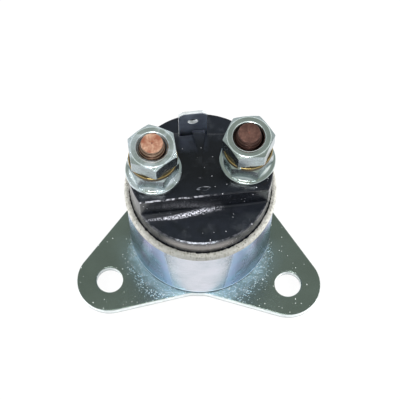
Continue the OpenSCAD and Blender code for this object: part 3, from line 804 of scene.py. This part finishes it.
def gate_scar(finish, across, along, high, dashes):
    """A flattened oval on top of the block: a broken pale line along it, which is painted highlight, and a
    shallow step.
    """
    shares = [maths("DIVIDE", maths("SUBTRACT", value, centre), half)
              for value, centre, half in zip((across, along), GATE_SCAR, GATE_SCAR_HALF)]
    oval = maths("ADD", *(times(share, share) for share in shares))
    ring = times(close_to(oval, 1.0, 0.50, 0.15), faded(high, BLOCK_TOP - 0.2, BLOCK_TOP - 0.1))
    # painted highlight: broken pale dashes along the scar's edge
    finish.cover(times(ring, dashes, 0.5), (176, 180, 188), 0.4)
    finish.relief(ring, 0.05)


def lip_and_wall(finish, high, dashes):
    """A painted highlight on the cap's round lip, strongest in front, and a pale band of painted reflection
    on the wall below it.
    """
    far, angle, _ = round_axis(finish.tree)
    backward = maths("SINE", angle)
    lip = times(faded(far, CAP_R - 0.40, CAP_R - 0.22), close_to(high, SHOULDER - 0.1, 0.3, 0.12))
    # painted highlight: dashes along the lip, and a brighter broken line in front
    finish.cover(times(lip, dashes, 0.15), (170, 170, 178), 0.4)
    broken = faded(finish.patches(2.0, 4), 0.35, 0.65, 0.15, 1.0)
    finish.cover(times(lip, faded(backward, -0.94, -0.985, 0.0, 0.75), broken), (214, 218, 228), 0.4)
    # painted reflection: a pale band on the front of the wall below the lip
    wall = times(faded(far, CAP_R - 0.2, CAP_R - 0.05), close_to(high, REFLECTION_BAND_Z, 1.9, 0.4, 0.43))
    finish.cover(times(wall, faded(backward, -0.84, -0.98)), (168, 160, 154), 0.45)


def black_moulding():
    finish = Finish("black_moulding", ((10, 13, 18), (17, 20, 27)), 0.0, (0.18, 0.26), 0.5, 4, 1.46)
    turn = {"Vector": spot_in_mm(finish.tree), "Angle": math.radians(-CAP_TURN)}
    spot = add_node(finish.tree, "VectorRotate", turn, rotation_type="Z_AXIS")
    across, along, high = add_node(finish.tree, "SeparateXYZ", {0: spot.outputs[0]}).outputs
    # breaks the painted highlights and the scar's line into dashes
    dashes = faded(finish.patches(0.9, 4), 0.45, 0.7, 0.0, 0.6)
    glint_streak(finish, across, along, high)
    block_edge(finish, across, along, high, dashes)
    gate_scar(finish, across, along, high, dashes)
    lip_and_wall(finish, high, dashes)
    finish.cover(faded(finish.patches(0.22, 5), 0.62, 1.0, 0.0, 0.07), (120, 124, 130), 0.5)
    return finish.dust(1.2, 0.22, 0.18, (214, 214, 218)).lumps(1.2, 0.005).done()


# %% [markdown]
# The mounting plate is punched from zinc-plated sheet. Its outline is three discs, one under the can and one
# about each hole, joined by straight lines that touch them. The outline is drawn as arcs, each one a single
# vertex spun about its disc's centre, and the straight lines then join the arcs' ends. Punching draws the
# upper edge in a little, so that edge gets a small round and the holes get one too.

# %% The mounting plate
CAN_R = 17.2
EAR_R = 7.9
HOLE = Vector((21.5, -14.3, 0))
HOLE_R = 3.15
HOLE_ROUND = 0.3
TORN_H, TORN_IN = 0.15, 0.1
FRONT_SLOPE = math.radians(15.2)
FRONT_BLEND_R = 12
EDGE_ROUND = 0.22
WELD_ANGLES = (30, 150, 270)
WELD_OUT, WELD_R, WELD_DEPTH = 9, 1.5, 0.4


def arc(bm, centre, radius, start, end, steps):
    """Vertices along an arc about a centre in the XY plane, from one angle to another, in degrees."""
    a, b = math.radians(start), math.radians(end)
    middle = Vector((*centre, 0)) * MM
    first = bm.verts.new(middle + radius * MM * Vector((math.cos(a), math.sin(a), 0)))
    bmesh.ops.spin(bm, geom=[first], cent=middle, axis=(0, 0, 1), dvec=(0, 0, 0), angle=b - a, steps=steps,
                   use_merge=False, use_duplicate=False)


def plate_outline():
    """The plate's outline, filled, at height 0."""
    reach = math.hypot(HOLE.x, HOLE.y)
    side = math.degrees(math.acos((CAN_R - EAR_R) / reach) - math.atan2(-HOLE.y, HOLE.x))
    slope = math.degrees(FRONT_SLOPE)
    corner_y = HOLE.y - EAR_R / math.cos(FRONT_SLOPE) + HOLE.x * math.tan(FRONT_SLOPE)
    blend_y = corner_y - FRONT_BLEND_R / math.cos(FRONT_SLOPE)
    bm = bmesh.new()
    arc(bm, (0, 0), CAN_R, side, 180 - side, 90)
    arc(bm, (-HOLE.x, HOLE.y), EAR_R, 180 - side, 270 + slope, 60)
    arc(bm, (0, blend_y), FRONT_BLEND_R, 90 + slope, 90 - slope, 16)
    arc(bm, (HOLE.x, HOLE.y), EAR_R, -90 - slope, side, 60)
    bm.verts.index_update()
    ends = [vert for vert in bm.verts if len(vert.link_edges) == 1]
    for left, right in zip(ends[1::2], ends[2::2] + ends[:1]):
        bm.edges.new((left, right))
    return filled(bm)


def hole_punch():
    """What the punch takes out: a hole, rounded where it goes in and torn wider where it comes out."""
    past_r = HOLE_R + 2 * HOLE_ROUND
    return lathe([(0, -PAST), (HOLE_R + TORN_IN, -PAST), (HOLE_R + TORN_IN, 0), (HOLE_R, TORN_H),
                  (HOLE_R, PLATE_T - HOLE_ROUND - 0.1), (HOLE_R, PLATE_T, HOLE_ROUND), (past_r, PLATE_T),
                  (past_r, PLATE_T + PAST), (0, PLATE_T + PAST)], 96)


def mounting_plate():
    bm = pulled(plate_outline(), z=PLATE_T)
    upper = [edge for edge in bm.edges if all(vert.co.z > PLATE_T * MM / 2 for vert in edge.verts)]
    rounded(bm, upper, EDGE_ROUND)
    bm = combine("UNION", bm, round_bar(CAN_R, 0, PLATE_T, high_cut=EDGE_ROUND))
    tools = [moved(hole_punch(), side * HOLE.x, HOLE.y) for side in (-1, 1)]
    for turned in WELD_ANGLES:
        dimple = round_bar(WELD_R, -PAST, WELD_DEPTH, 32, high_cut=0.2)
        tools.append(moved(moved(dimple, x=WELD_OUT), turned=turned))
    bm = combine("DIFFERENCE", bm, *tools)
    marked(tidy(bm), lambda spot, normal: abs(normal.z) < 0.4)
    return finished("plate", bm, "mounting_plate", plate_zinc(), cut_zinc())


mounting_plate()

# %% [markdown]
# The can is drawn from sheet in one piece, and its upper edge is rolled in over the cap's flange when the
# contactor is closed. The rolled part is duller than the rest, since the rolling tool has rubbed it, and its
# inner edge is never quite even. So the rim gets its own finish, and the vertices of the lip's edge are
# moved in and out a little.

# %% The can and its rolled rim
CAN_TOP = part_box("can")[1].z / MM
RIM_R = 17.55
RIM_FOOT = 24.1
LIP_R = 16.4
LIP_T = 0.85
LIP_WOBBLE = 0.11
SEAT_R = 16.75
CAN_BORE = 16.0
CAN_FLOOR = 3.2
FOOT_ROUND, FLOOR_ROUND = 0.4, 0.6
RIM_ROUND, LIP_ROUND = 0.62, 0.14
FLANGE_FOOT = 24.0
RIM_STEPS = 384


def can():
    bm = lathe([(0, PLATE_T), (CAN_R, PLATE_T, FOOT_ROUND), (CAN_R, RIM_FOOT - 0.05, 0.12),
                (RIM_R, RIM_FOOT + 0.1, 0.25), (RIM_R, CAN_TOP, RIM_ROUND), (LIP_R, CAN_TOP, LIP_ROUND),
                (LIP_R, CAN_TOP - LIP_T), (SEAT_R, CAN_TOP - LIP_T), (SEAT_R, FLANGE_FOOT),
                (CAN_BORE, FLANGE_FOOT), (CAN_BORE, CAN_FLOOR, FLOOR_ROUND), (0, CAN_FLOOR)], RIM_STEPS)
    rnd = random.Random(4)
    ring = [rnd.uniform(-1, 1) for _ in range(RIM_STEPS)]
    for vert in bm.verts:
        radius = vert.co.xy.length / MM
        if LIP_R - 0.1 < radius < LIP_R + 0.2 and vert.co.z > (CAN_TOP - LIP_T - 0.05) * MM:
            at = round(math.degrees(math.atan2(vert.co.y, vert.co.x)) * RIM_STEPS / 360) % RIM_STEPS
            vert.co.xy *= 1 + LIP_WOBBLE * ring[at] / radius
    marked(bm, lambda spot, normal: spot.z > RIM_FOOT + 0.15 and spot.xy.length > LIP_R - 0.2)
    return finished("can_shell", bm, "can", can_zinc(), rim_zinc())


can()

# %% [markdown]
# The cap is moulded in one piece: a round with a flange that the can's lip holds, two low shoulders, and a
# raised block between them that carries the studs. The round is turned. The block is a second turned disc,
# cut by two long walls. Each wall is drawn as a line in side view, with a round at its top and a hollow one
# at its foot, and pulled along its length.

# %% The cap's round and its block
BLOCK_BACK = 7.93
BACK_TURN = -7
BLOCK_SUNK = 0.8
HOLLOW_OUT, HOLLOW_ROUND, EDGE_OF_BLOCK = 0.9, 0.5, 0.35
CAP_BORE = 13.6
CEILING = 29.0
DOME_R, DOME_TOP = 3.3, 29.8
SKIRT_R, SKIRT_FOOT = 15.9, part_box("cap")[0].z / MM
FLANGE_R, FLANGE_TOP = 16.65, 25.4
CAP_STEPS = 192
BEYOND_CAP = 30
OVER_CAP = 45


def side_prism(points, half_length):
    """A line of points (y, z) or (y, z, cut), filled and pulled along X to both sides, in mm."""
    return pulled(moved(filled(outline(points)), x=-half_length, turned=90), x=2 * half_length)


def long_wall(distance):
    """Everything on the near side of one of the block's walls, which is at a distance towards +Y."""
    foot, hollow = SHOULDER - BLOCK_SUNK, SHOULDER - 0.02
    out = distance + HOLLOW_OUT
    return side_prism([(-BEYOND_CAP, foot), (out, foot), (out, hollow), (distance, hollow, HOLLOW_ROUND),
                       (distance, BLOCK_TOP, EDGE_OF_BLOCK), (-BEYOND_CAP, BLOCK_TOP)], BEYOND_CAP)


def block():
    disc = round_bar(CAP_R - 0.004, SHOULDER - BLOCK_SUNK, BLOCK_TOP, CAP_STEPS, high_cut=0.45)
    front = moved(long_wall(BLOCK_FRONT), turned=180)
    return combine("INTERSECT", disc, front, moved(long_wall(BLOCK_BACK), turned=BACK_TURN))


def turned_round():
    return lathe([(CAP_BORE, SKIRT_FOOT), (SKIRT_R, SKIRT_FOOT, 0.2), (SKIRT_R, FLANGE_FOOT),
                  (FLANGE_R, FLANGE_FOOT), (FLANGE_R, FLANGE_TOP, 0.2), (CAP_R, FLANGE_TOP),
                  (CAP_R, SHOULDER, 0.45), (0, SHOULDER), (0, DOME_TOP), (DOME_R, DOME_TOP),
                  (DOME_R, CEILING), (CAP_BORE, CEILING, 0.5)], CAP_STEPS)


# %% [markdown]
# The blade comes up just behind the block, in a slot. A wedge on top of the block props it from the front,
# and a low ridge runs on from the wedge to the front edge, where there is a small pad. They are sunk into
# the block a little, so that the union has no faces that only touch. The slot is cut before the wedge is put
# on and once more after it, up to the blade's front.

# %% The wedge, the ridge and the pad, and the whole cap
SLOT_X = (-4.02, 2.58)
SLOT_FRONT, SLOT_BACK = 7.65, 9.1
BLADE_FRONT, BLADE_BACK = 8.2, 9.0
BORE_R = 3
WEDGE_FRONT, WEDGE_CREST, WEDGE_BACK = 3.2, 7.4, 8.6
WEDGE_X = -2.225, 1.125
WEDGE_TOP, RIDGE_TOP = BLOCK_TOP + 1.3, BLOCK_TOP + 0.3
WEDGE_FOOT, RIDGE_FOOT = BLOCK_TOP - 2.4, BLOCK_TOP - 0.5
RIDGE_HALF = 0.4
PAD_R, PAD_Y, PAD_HALF = 1.65, 1.1, 0.55


def wedge():
    left, right = WEDGE_X
    plan = slab([(left, WEDGE_BACK), (right, WEDGE_BACK), (RIDGE_HALF, WEDGE_FRONT),
                 (-RIDGE_HALF, WEDGE_FRONT)], WEDGE_FOOT, WEDGE_TOP)
    side = side_prism([(WEDGE_BACK, WEDGE_FOOT - 0.1), (WEDGE_BACK, WEDGE_TOP), (WEDGE_CREST, WEDGE_TOP),
                       (WEDGE_FRONT, RIDGE_TOP), (WEDGE_FRONT, WEDGE_FOOT - 0.1)], 10)
    return moved(combine("INTERSECT", plan, side), turned=BACK_TURN)


def ridge():
    back = WEDGE_FRONT + 0.1
    bar = side_prism([(-WEDGE_FRONT, RIDGE_FOOT), (-WEDGE_FRONT, RIDGE_TOP, 0.15), (back, RIDGE_TOP),
                      (back, RIDGE_FOOT)], RIDGE_HALF)
    return moved(bar, turned=BACK_TURN)


def pad():
    disc = moved(round_bar(PAD_R, RIDGE_FOOT, RIDGE_TOP, 48, high_cut=0.15), y=PAD_Y)
    low, high = RIDGE_FOOT - 0.1, BLOCK_TOP + PAST
    near = side_prism([(-PAD_HALF, low), (-PAD_HALF, high), (PAD_HALF, high), (PAD_HALF, low)], 4)
    return moved(combine("INTERSECT", disc, near), y=PAD_Y - BLOCK_FRONT)


def slot(front):
    return box_between(SLOT_X, (front, SLOT_BACK), (SKIRT_FOOT - PAST, OVER_CAP))


def cap():
    bm = combine("UNION", turned_round(), block())
    bm = combine("DIFFERENCE", bm, slot(SLOT_FRONT))
    bm = combine("UNION", bm, wedge(), ridge(), pad())
    bores = [moved(round_bar(BORE_R, SKIRT_FOOT - PAST, OVER_CAP, 64), x=side * STUD_X) for side in (-1, 1)]
    bm = combine("DIFFERENCE", bm, slot(BLADE_FRONT - 0.05), *bores)
    return finished("cap_moulding", tidy(moved(bm, turned=CAP_TURN)), "cap", black_moulding())


cap()

# %% [markdown]
# A screw thread is one tooth, wound up. The tooth is drawn as a short line as high as the pitch, and spun
# with a rise at every step. After one turn it arrives exactly one pitch higher, so the turns join into one
# surface. The ends are closed, and a turned envelope with the tip's chamfer trims them off.

# %% The studs
PITCH = 1.0
ROOT_R = 2.30
CREST_R = STUD_R + 0.02
TOOTH_SHARES = 0.1, 0.48, 0.60
HEAD_R = 4.2
HEAD_GAP = 0.05
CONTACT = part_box("left_stud")[0].z / MM
STUD_STEPS = 72


def thread(low, high):
    """A threaded rod that reaches at least from low to high."""
    root, crest, crest_end = (share * PITCH for share in TOOTH_SHARES)
    tooth = [(ROOT_R, 0), (ROOT_R, root), (CREST_R, crest), (CREST_R, crest_end), (ROOT_R, PITCH)]
    bm = moved(outline(tooth, closed=False), z=low)
    turns = math.ceil((high - low) / PITCH)
    wound(bm, bm.verts[:] + bm.edges[:], FULL * turns, PITCH * turns, STUD_STEPS * turns)
    bmesh.ops.remove_doubles(bm, verts=bm.verts, dist=0.001 * MM)
    bmesh.ops.holes_fill(bm, edges=bm.edges[:], sides=0)
    bmesh.ops.triangulate(bm, faces=[face for face in bm.faces if len(face.verts) > 4])
    bmesh.ops.recalc_face_normals(bm, faces=bm.faces)
    return bm


def stud(side, node, faces, flanks):
    """The threaded end, a plain shank through the cap, and a head that is trimmed to the cap's bore."""
    envelope = lathe([(0, BLOCK_TOP), (STUD_R, BLOCK_TOP), (STUD_R, STUD_TOP - STUD_TIP_H),
                      (STUD_R - STUD_TIP_IN, STUD_TOP, 0.18), (0, STUD_TOP)], STUD_STEPS)
    rod = combine("INTERSECT", envelope, thread(BLOCK_TOP - 1.5, STUD_TOP + PAST))
    shank = round_bar(STUD_R, CONTACT + 1, BLOCK_TOP + 0.3, STUD_STEPS)
    rod = moved(combine("UNION", rod, shank), x=side * STUD_X)
    head = moved(round_bar(HEAD_R, CONTACT, CEILING - HEAD_GAP, STUD_STEPS, low_cut=0.3), x=side * STUD_X)
    room = round_bar(CAP_BORE - 0.1, CONTACT - PAST, CEILING + PAST)
    bm = combine("UNION", rod, combine("INTERSECT", head, room))
    copper = stud_copper("copper_" + node, faces, flanks, stud_centre(side))
    return finished(node + "_rod", tidy(moved(bm, turned=CAP_TURN)), node, copper)


stud(-1, "left_stud", ((160, 102, 80), (224, 187, 160)), ((52, 36, 33), (92, 60, 48)))
stud(1, "right_stud", ((80, 56, 50), (121, 89, 79)), ((48, 34, 34), (80, 56, 50)))

# %% [markdown]
# A nut is a hexagonal bar with its corners turned off to 30 degrees, which leaves the curved edges that
# every nut has. That is what is done here: a hexagon and a double cone, and the part that they share. The
# flange nut is turned only at the top, and its foot is a cone that the flats run into.

# %% The nuts
FLATS = 10
NUT_T = 5
NUT_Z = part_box("hex_nuts")[0].z / MM
WASHER_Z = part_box("spring_washers")[0].z / MM
FLANGE_NUT_T = WASHER_Z - BLOCK_TOP
CORNER_R = FLATS / math.sqrt(3)
CHAMFER_R = FLATS * 0.475
BEYOND_R = CORNER_R + 0.4
BEYOND_H = (BEYOND_R - CHAMFER_R) * math.tan(math.radians(30))
LONG_EDGE_ROUND = 0.17
COUNTERSINK = 0.55
NUT_FLANGE_R, NUT_FLANGE_T = 6.3, 0.98
CONE_FOOT, CONE_TOP = (5.5, 1.06), (4.95, 1.9)
NUT_TURNS = {-1: 32, 1: 59}
FLANGE_NUT_TURNS = {-1: 48, 1: 44}


def hexagon(height, turned):
    """A hexagonal bar that runs past both ends of a nut of a height, with its long edges rounded."""
    bm = bmesh.new()
    bmesh.ops.create_circle(bm, cap_ends=True, segments=6, radius=CORNER_R * MM)
    bm = pulled(moved(bm, z=-PAST, turned=turned - 90), z=height + 2 * PAST)
    corners = [edge for edge in bm.edges if abs(edge.verts[0].co.z - edge.verts[1].co.z) > MM]
    return rounded(bm, corners, LONG_EDGE_ROUND)


def bored(bm, height):
    """The hole for the stud, with its countersinks, and the finishes of painted shade for the bore and the
    flats.
    """
    wide = BORE_R + COUNTERSINK
    drill = lathe([(0, -PAST), (wide + 1, -PAST), (BORE_R, COUNTERSINK), (BORE_R, height - COUNTERSINK),
                   (wide - 0.1, height - 0.1), (wide + 0.65, height + 0.2), (wide + 0.65, height + PAST),
                   (0, height + PAST)], 72)
    bm = combine("DIFFERENCE", bm, drill)
    # the bore gets the near-black finish, painted shade
    marked(bm, lambda spot, normal: spot.xy.length < BORE_R + 0.02 and abs(normal.z) < 0.5)
    # the flats get the darker copy, painted shade
    return marked(bm, lambda spot, normal: 4.9 < spot.xy.length < CORNER_R and abs(normal.z) < 0.3, 2)


def hex_nut(side):
    cone = lathe([(0, 0), (CHAMFER_R, 0, 0.2), (BEYOND_R, BEYOND_H), (BEYOND_R, NUT_T - BEYOND_H),
                  (CHAMFER_R, NUT_T, 0.2), (0, NUT_T)], 90)
    return bored(combine("INTERSECT", cone, hexagon(NUT_T, NUT_TURNS[side])), NUT_T)


def flange_nut(side):
    cone = lathe([(0, 0.2), (BEYOND_R, 0.2), (BEYOND_R, FLANGE_NUT_T - BEYOND_H),
                  (CHAMFER_R, FLANGE_NUT_T, 0.12), (0, FLANGE_NUT_T)], 90)
    top = combine("INTERSECT", cone, hexagon(FLANGE_NUT_T, FLANGE_NUT_TURNS[side]))
    flange = lathe([(0, 0), (NUT_FLANGE_R, 0, 0.15), (NUT_FLANGE_R, NUT_FLANGE_T, 0.28), (*CONE_FOOT, 0.2),
                    CONE_TOP, (0, CONE_TOP[1])], 96)
    return bored(combine("UNION", flange, top), FLANGE_NUT_T)


def on_studs(make, height):
    """One piece made for each stud, -1 and 1, and put at a height, both in one bmesh."""
    pair = bmesh.new()
    for side in (-1, 1):
        bm = moved(make(side), x=side * STUD_X, z=height)
        mesh = bpy.data.meshes.new("one")
        bm.to_mesh(mesh)
        bm.free()
        pair.from_mesh(mesh)
        bpy.data.meshes.remove(mesh)
    return tidy(moved(pair, turned=CAP_TURN))


NUT_FINISH = nut_zinc(), NUT_BORE_SHADE, NUT_FLATS_SHADE
finished("upper_nuts", on_studs(hex_nut, NUT_Z), "hex_nuts", *NUT_FINISH)
finished("lower_nuts", on_studs(flange_nut, BLOCK_TOP), "flange_nuts", *NUT_FINISH)

# %% [markdown]
# A spring washer is one turn of square wire, cut through. Tightened down it is almost flat, but its ends
# never quite meet. The square, with its edges rounded, is spun through a little less than a full turn with a
# small rise, and the two ends are filled.

# %% The spring washers
SPLIT = 9
SPLIT_TURNS = {-1: 338, 1: 241}
WASHER_R = 5.4
WASHER_T = NUT_Z - WASHER_Z
WASHER_RISE = 0.12


def spring_washer(side):
    thick = WASHER_T - WASHER_RISE
    wire = [(BORE_R, 0, 0.15), (WASHER_R, 0, 0.15), (WASHER_R, thick, 0.2), (BORE_R, thick, 0.2)]
    bm = filled(outline(wire))
    wound(bm, bm.verts[:] + bm.edges[:] + bm.faces[:], math.radians(360 - SPLIT), WASHER_RISE, 90)
    outer = WASHER_R - 0.1
    # the top and the outside of the wire get the dark finish, painted shade
    marked(tidy(bm), lambda spot, normal: normal.z > 0.97 or spot.xy.length > outer and abs(normal.z) < 0.3)
    return moved(bm, turned=SPLIT_TURNS[side] + SPLIT / 2)


finished("washers", on_studs(spring_washer, WASHER_Z), "spring_washers", YELLOW_ZINC, WASHER_PAINTED_SHADE)

# %% [markdown]
# The spade terminal is a strip with a pointed tip that helps the receptacle on, and a hole that it snaps
# into. Its foot is bent back under the cap's roof, where the coil's lead is soldered to it. The edges of the
# tip are rounded first and more, and then the long edges of the strip a little.

# %% The spade terminal
BLADE_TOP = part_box("spade_terminal")[1].z / MM
BLADE_X = -0.72
BLADE_HALF = 3.15
BLADE_CORNER = 1
BLADE_HOLE_R, BLADE_HOLE_UP = 1.15, 5.5
FOOT_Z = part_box("spade_terminal")[0].z / MM
FOOT_T, FOOT_BACK = 0.75, 13.1


def blade():
    inner, corner = BLADE_HALF - BLADE_CORNER, BLADE_TOP - BLADE_CORNER
    strip = outline([(-BLADE_HALF, FOOT_Z), (BLADE_HALF, FOOT_Z), (BLADE_HALF, corner), (inner, BLADE_TOP),
                     (-inner, BLADE_TOP), (-BLADE_HALF, corner)])
    bm = moved(pulled(filled(strip), y=BLADE_BACK - BLADE_FRONT), y=BLADE_FRONT)

    def rims(low, high):
        """The sharp edges of the front and the back whose higher end lies between two heights."""
        return [edge for edge in bm.edges if abs(edge.verts[0].co.y - edge.verts[1].co.y) < 0.01 * MM
                and edge.calc_face_angle(0) > 1 and low < max(vert.co.z for vert in edge.verts) / MM < high]

    rounded(bm, rims(BLADE_TOP - 0.01, BLADE_TOP + PAST), 0.28, 4)
    rounded(bm, rims(FOOT_Z - PAST, BLADE_TOP - 0.9), 0.12, 2)
    hole = round_bar(BLADE_HOLE_R, -PAST, PAST, 48)
    bmesh.ops.rotate(hole, verts=hole.verts, cent=(0, 0, 0), matrix=rotation(90, "X"))
    hole = moved(hole, y=(BLADE_FRONT + BLADE_BACK) / 2, z=BLOCK_TOP + BLADE_HOLE_UP)
    foot = box_between((-BLADE_HALF / 2, BLADE_HALF / 2), (BLADE_FRONT + 0.1, FOOT_BACK),
                       (FOOT_Z, FOOT_Z + FOOT_T))
    bm = tidy(combine("UNION", combine("DIFFERENCE", bm, hole), foot))
    marked(bm, lambda spot, normal: abs(normal.y) < 0.9 and spot.z > BLOCK_TOP)
    return moved(bm, x=BLADE_X, turned=CAP_TURN)


finished("blade", blade(), "spade_terminal", BLADE_PLATING, BLADE_EDGE)

# %% [markdown]
# The pieces inside the can are out of sight until it is opened. All but the two springs keep the shape that
# they have in CAD, and only their finish is made here: rubber, drawn brass, nylon, enamelled wire, tape,
# soft iron, spring steel. Each has two tones, a gloss, and either lumps or the lines of its turns, with how
# many there are to a millimetre and how deep they go.

# %% The finishes inside
def inner_finish(nodes, name, *look, **layers):
    """A simple finish, given to pieces that keep their CAD mesh."""
    material = simple_finish(name, *look, **layers)
    for node in nodes:
        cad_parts[node].data.materials.clear()
        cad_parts[node].data.materials.append(material)
    return material


inner_finish(["bumper"],
             "bumper_rubber", ((34, 34, 36), (48, 48, 50)), 0.0, (0.6, 0.8), 1.0, lumps=(3, 0.01))
inner_finish(["guide_tube", "plunger_rod"],
             "drawn_brass", ((196, 164, 92), (226, 198, 128)), 1.0, (0.2, 0.32), 0.4, lines=(4, 0.004))
inner_finish(["coil_bobbin", "disc_bush"],
             "nylon", ((222, 214, 190), (236, 230, 210)), 0.0, (0.4, 0.5), 0.3, lumps=(2, 0.004))
inner_finish(["coil_winding", "spade_lead", "ground_lead"],
             "coil_wire", ((138, 62, 26), (184, 92, 40)), 0.6, (0.25, 0.4), 0.5, lines=(2.0, 0.10))
inner_finish(["winding_tape"],
             "coil_tape", ((206, 172, 66), (222, 190, 90)), 0.0, (0.35, 0.5), 0.4, lumps=(2, 0.01))
inner_finish(["top_plate", "fixed_core", "plunger"],
             "bright_iron", ((168, 170, 174), (196, 198, 202)), 1.0, (0.3, 0.45), 0.4, lumps=(2, 0.006))
inner_finish(["cap_gasket"],
             "gasket_board", ((86, 70, 56), (104, 88, 72)), 0.0, (0.8, 0.9), 2.0, lumps=(5, 0.02))
inner_finish(["disc_washer"],
             "red_fibre", ((150, 62, 44), (170, 80, 58)), 0.0, (0.6, 0.7), 1.5, lumps=(4, 0.01))
inner_finish(["contact_disc"],
             "contact_copper", ((184, 112, 78), (214, 144, 104)), 1.0, (0.25, 0.35), 0.6, lumps=(2, 0.006))
SPRING = inner_finish(["rod_clip"], "spring_wire", ((160, 162, 168), (190, 192, 198)), 1.0, (0.2, 0.3), 1.0,
                      lumps=(3, 0.002))

# %% [markdown]
# The two springs inside do change their shape: the plunger squeezes one against the core as it is pulled in,
# and its overtravel squeezes the other under the contact disc. So they are wound here, each with a mesh of
# its own, on the body that it rides on. A coil spring's wire is wound up a mandrel with a closed turn at each
# end, which gives it a flat seat. The wire's round section is spun up the axis in the same three stretches.

# %% The springs
CLOSED_PITCH = 1.08
TURN_STEPS = 36


def coil_spring(radius, wire, turns, low, high):
    """A spring of so many turns, two of them closed, between two heights, all in mm."""
    seat = CLOSED_PITCH * wire
    rise = high - low - wire - 2 * seat
    bm = bmesh.new()
    upright = Matrix.Translation((radius * MM, 0, (low + wire / 2) * MM)) @ rotation(90, "X")
    bmesh.ops.create_circle(bm, cap_ends=True, radius=wire / 2 * MM, segments=12, matrix=upright)
    end = bm.verts[:] + bm.edges[:] + bm.faces[:]
    for count, climb in ((1, seat), (turns - 2, rise), (1, seat)):
        end = wound(bm, end, FULL * count, climb, TURN_STEPS * count)
    return tidy(bm)


def squeezed_spring(name, node, radius, wire, turns, body):
    """A spring in place of a CAD one, wound between the CAD spring's heights, on a body and with a mesh of
    its own.
    """
    low, high = (corner.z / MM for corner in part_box(node))
    piece = finished(name, coil_spring(radius, wire, turns, low, high), node, SPRING, body=body)
    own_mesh(piece)


squeezed_spring("return_spring_wire", "return_spring", 2.75, 0.5, 7, "housing")
squeezed_spring("contact_spring_wire", "contact_spring", 2.5, 0.35, 3, "plunger")
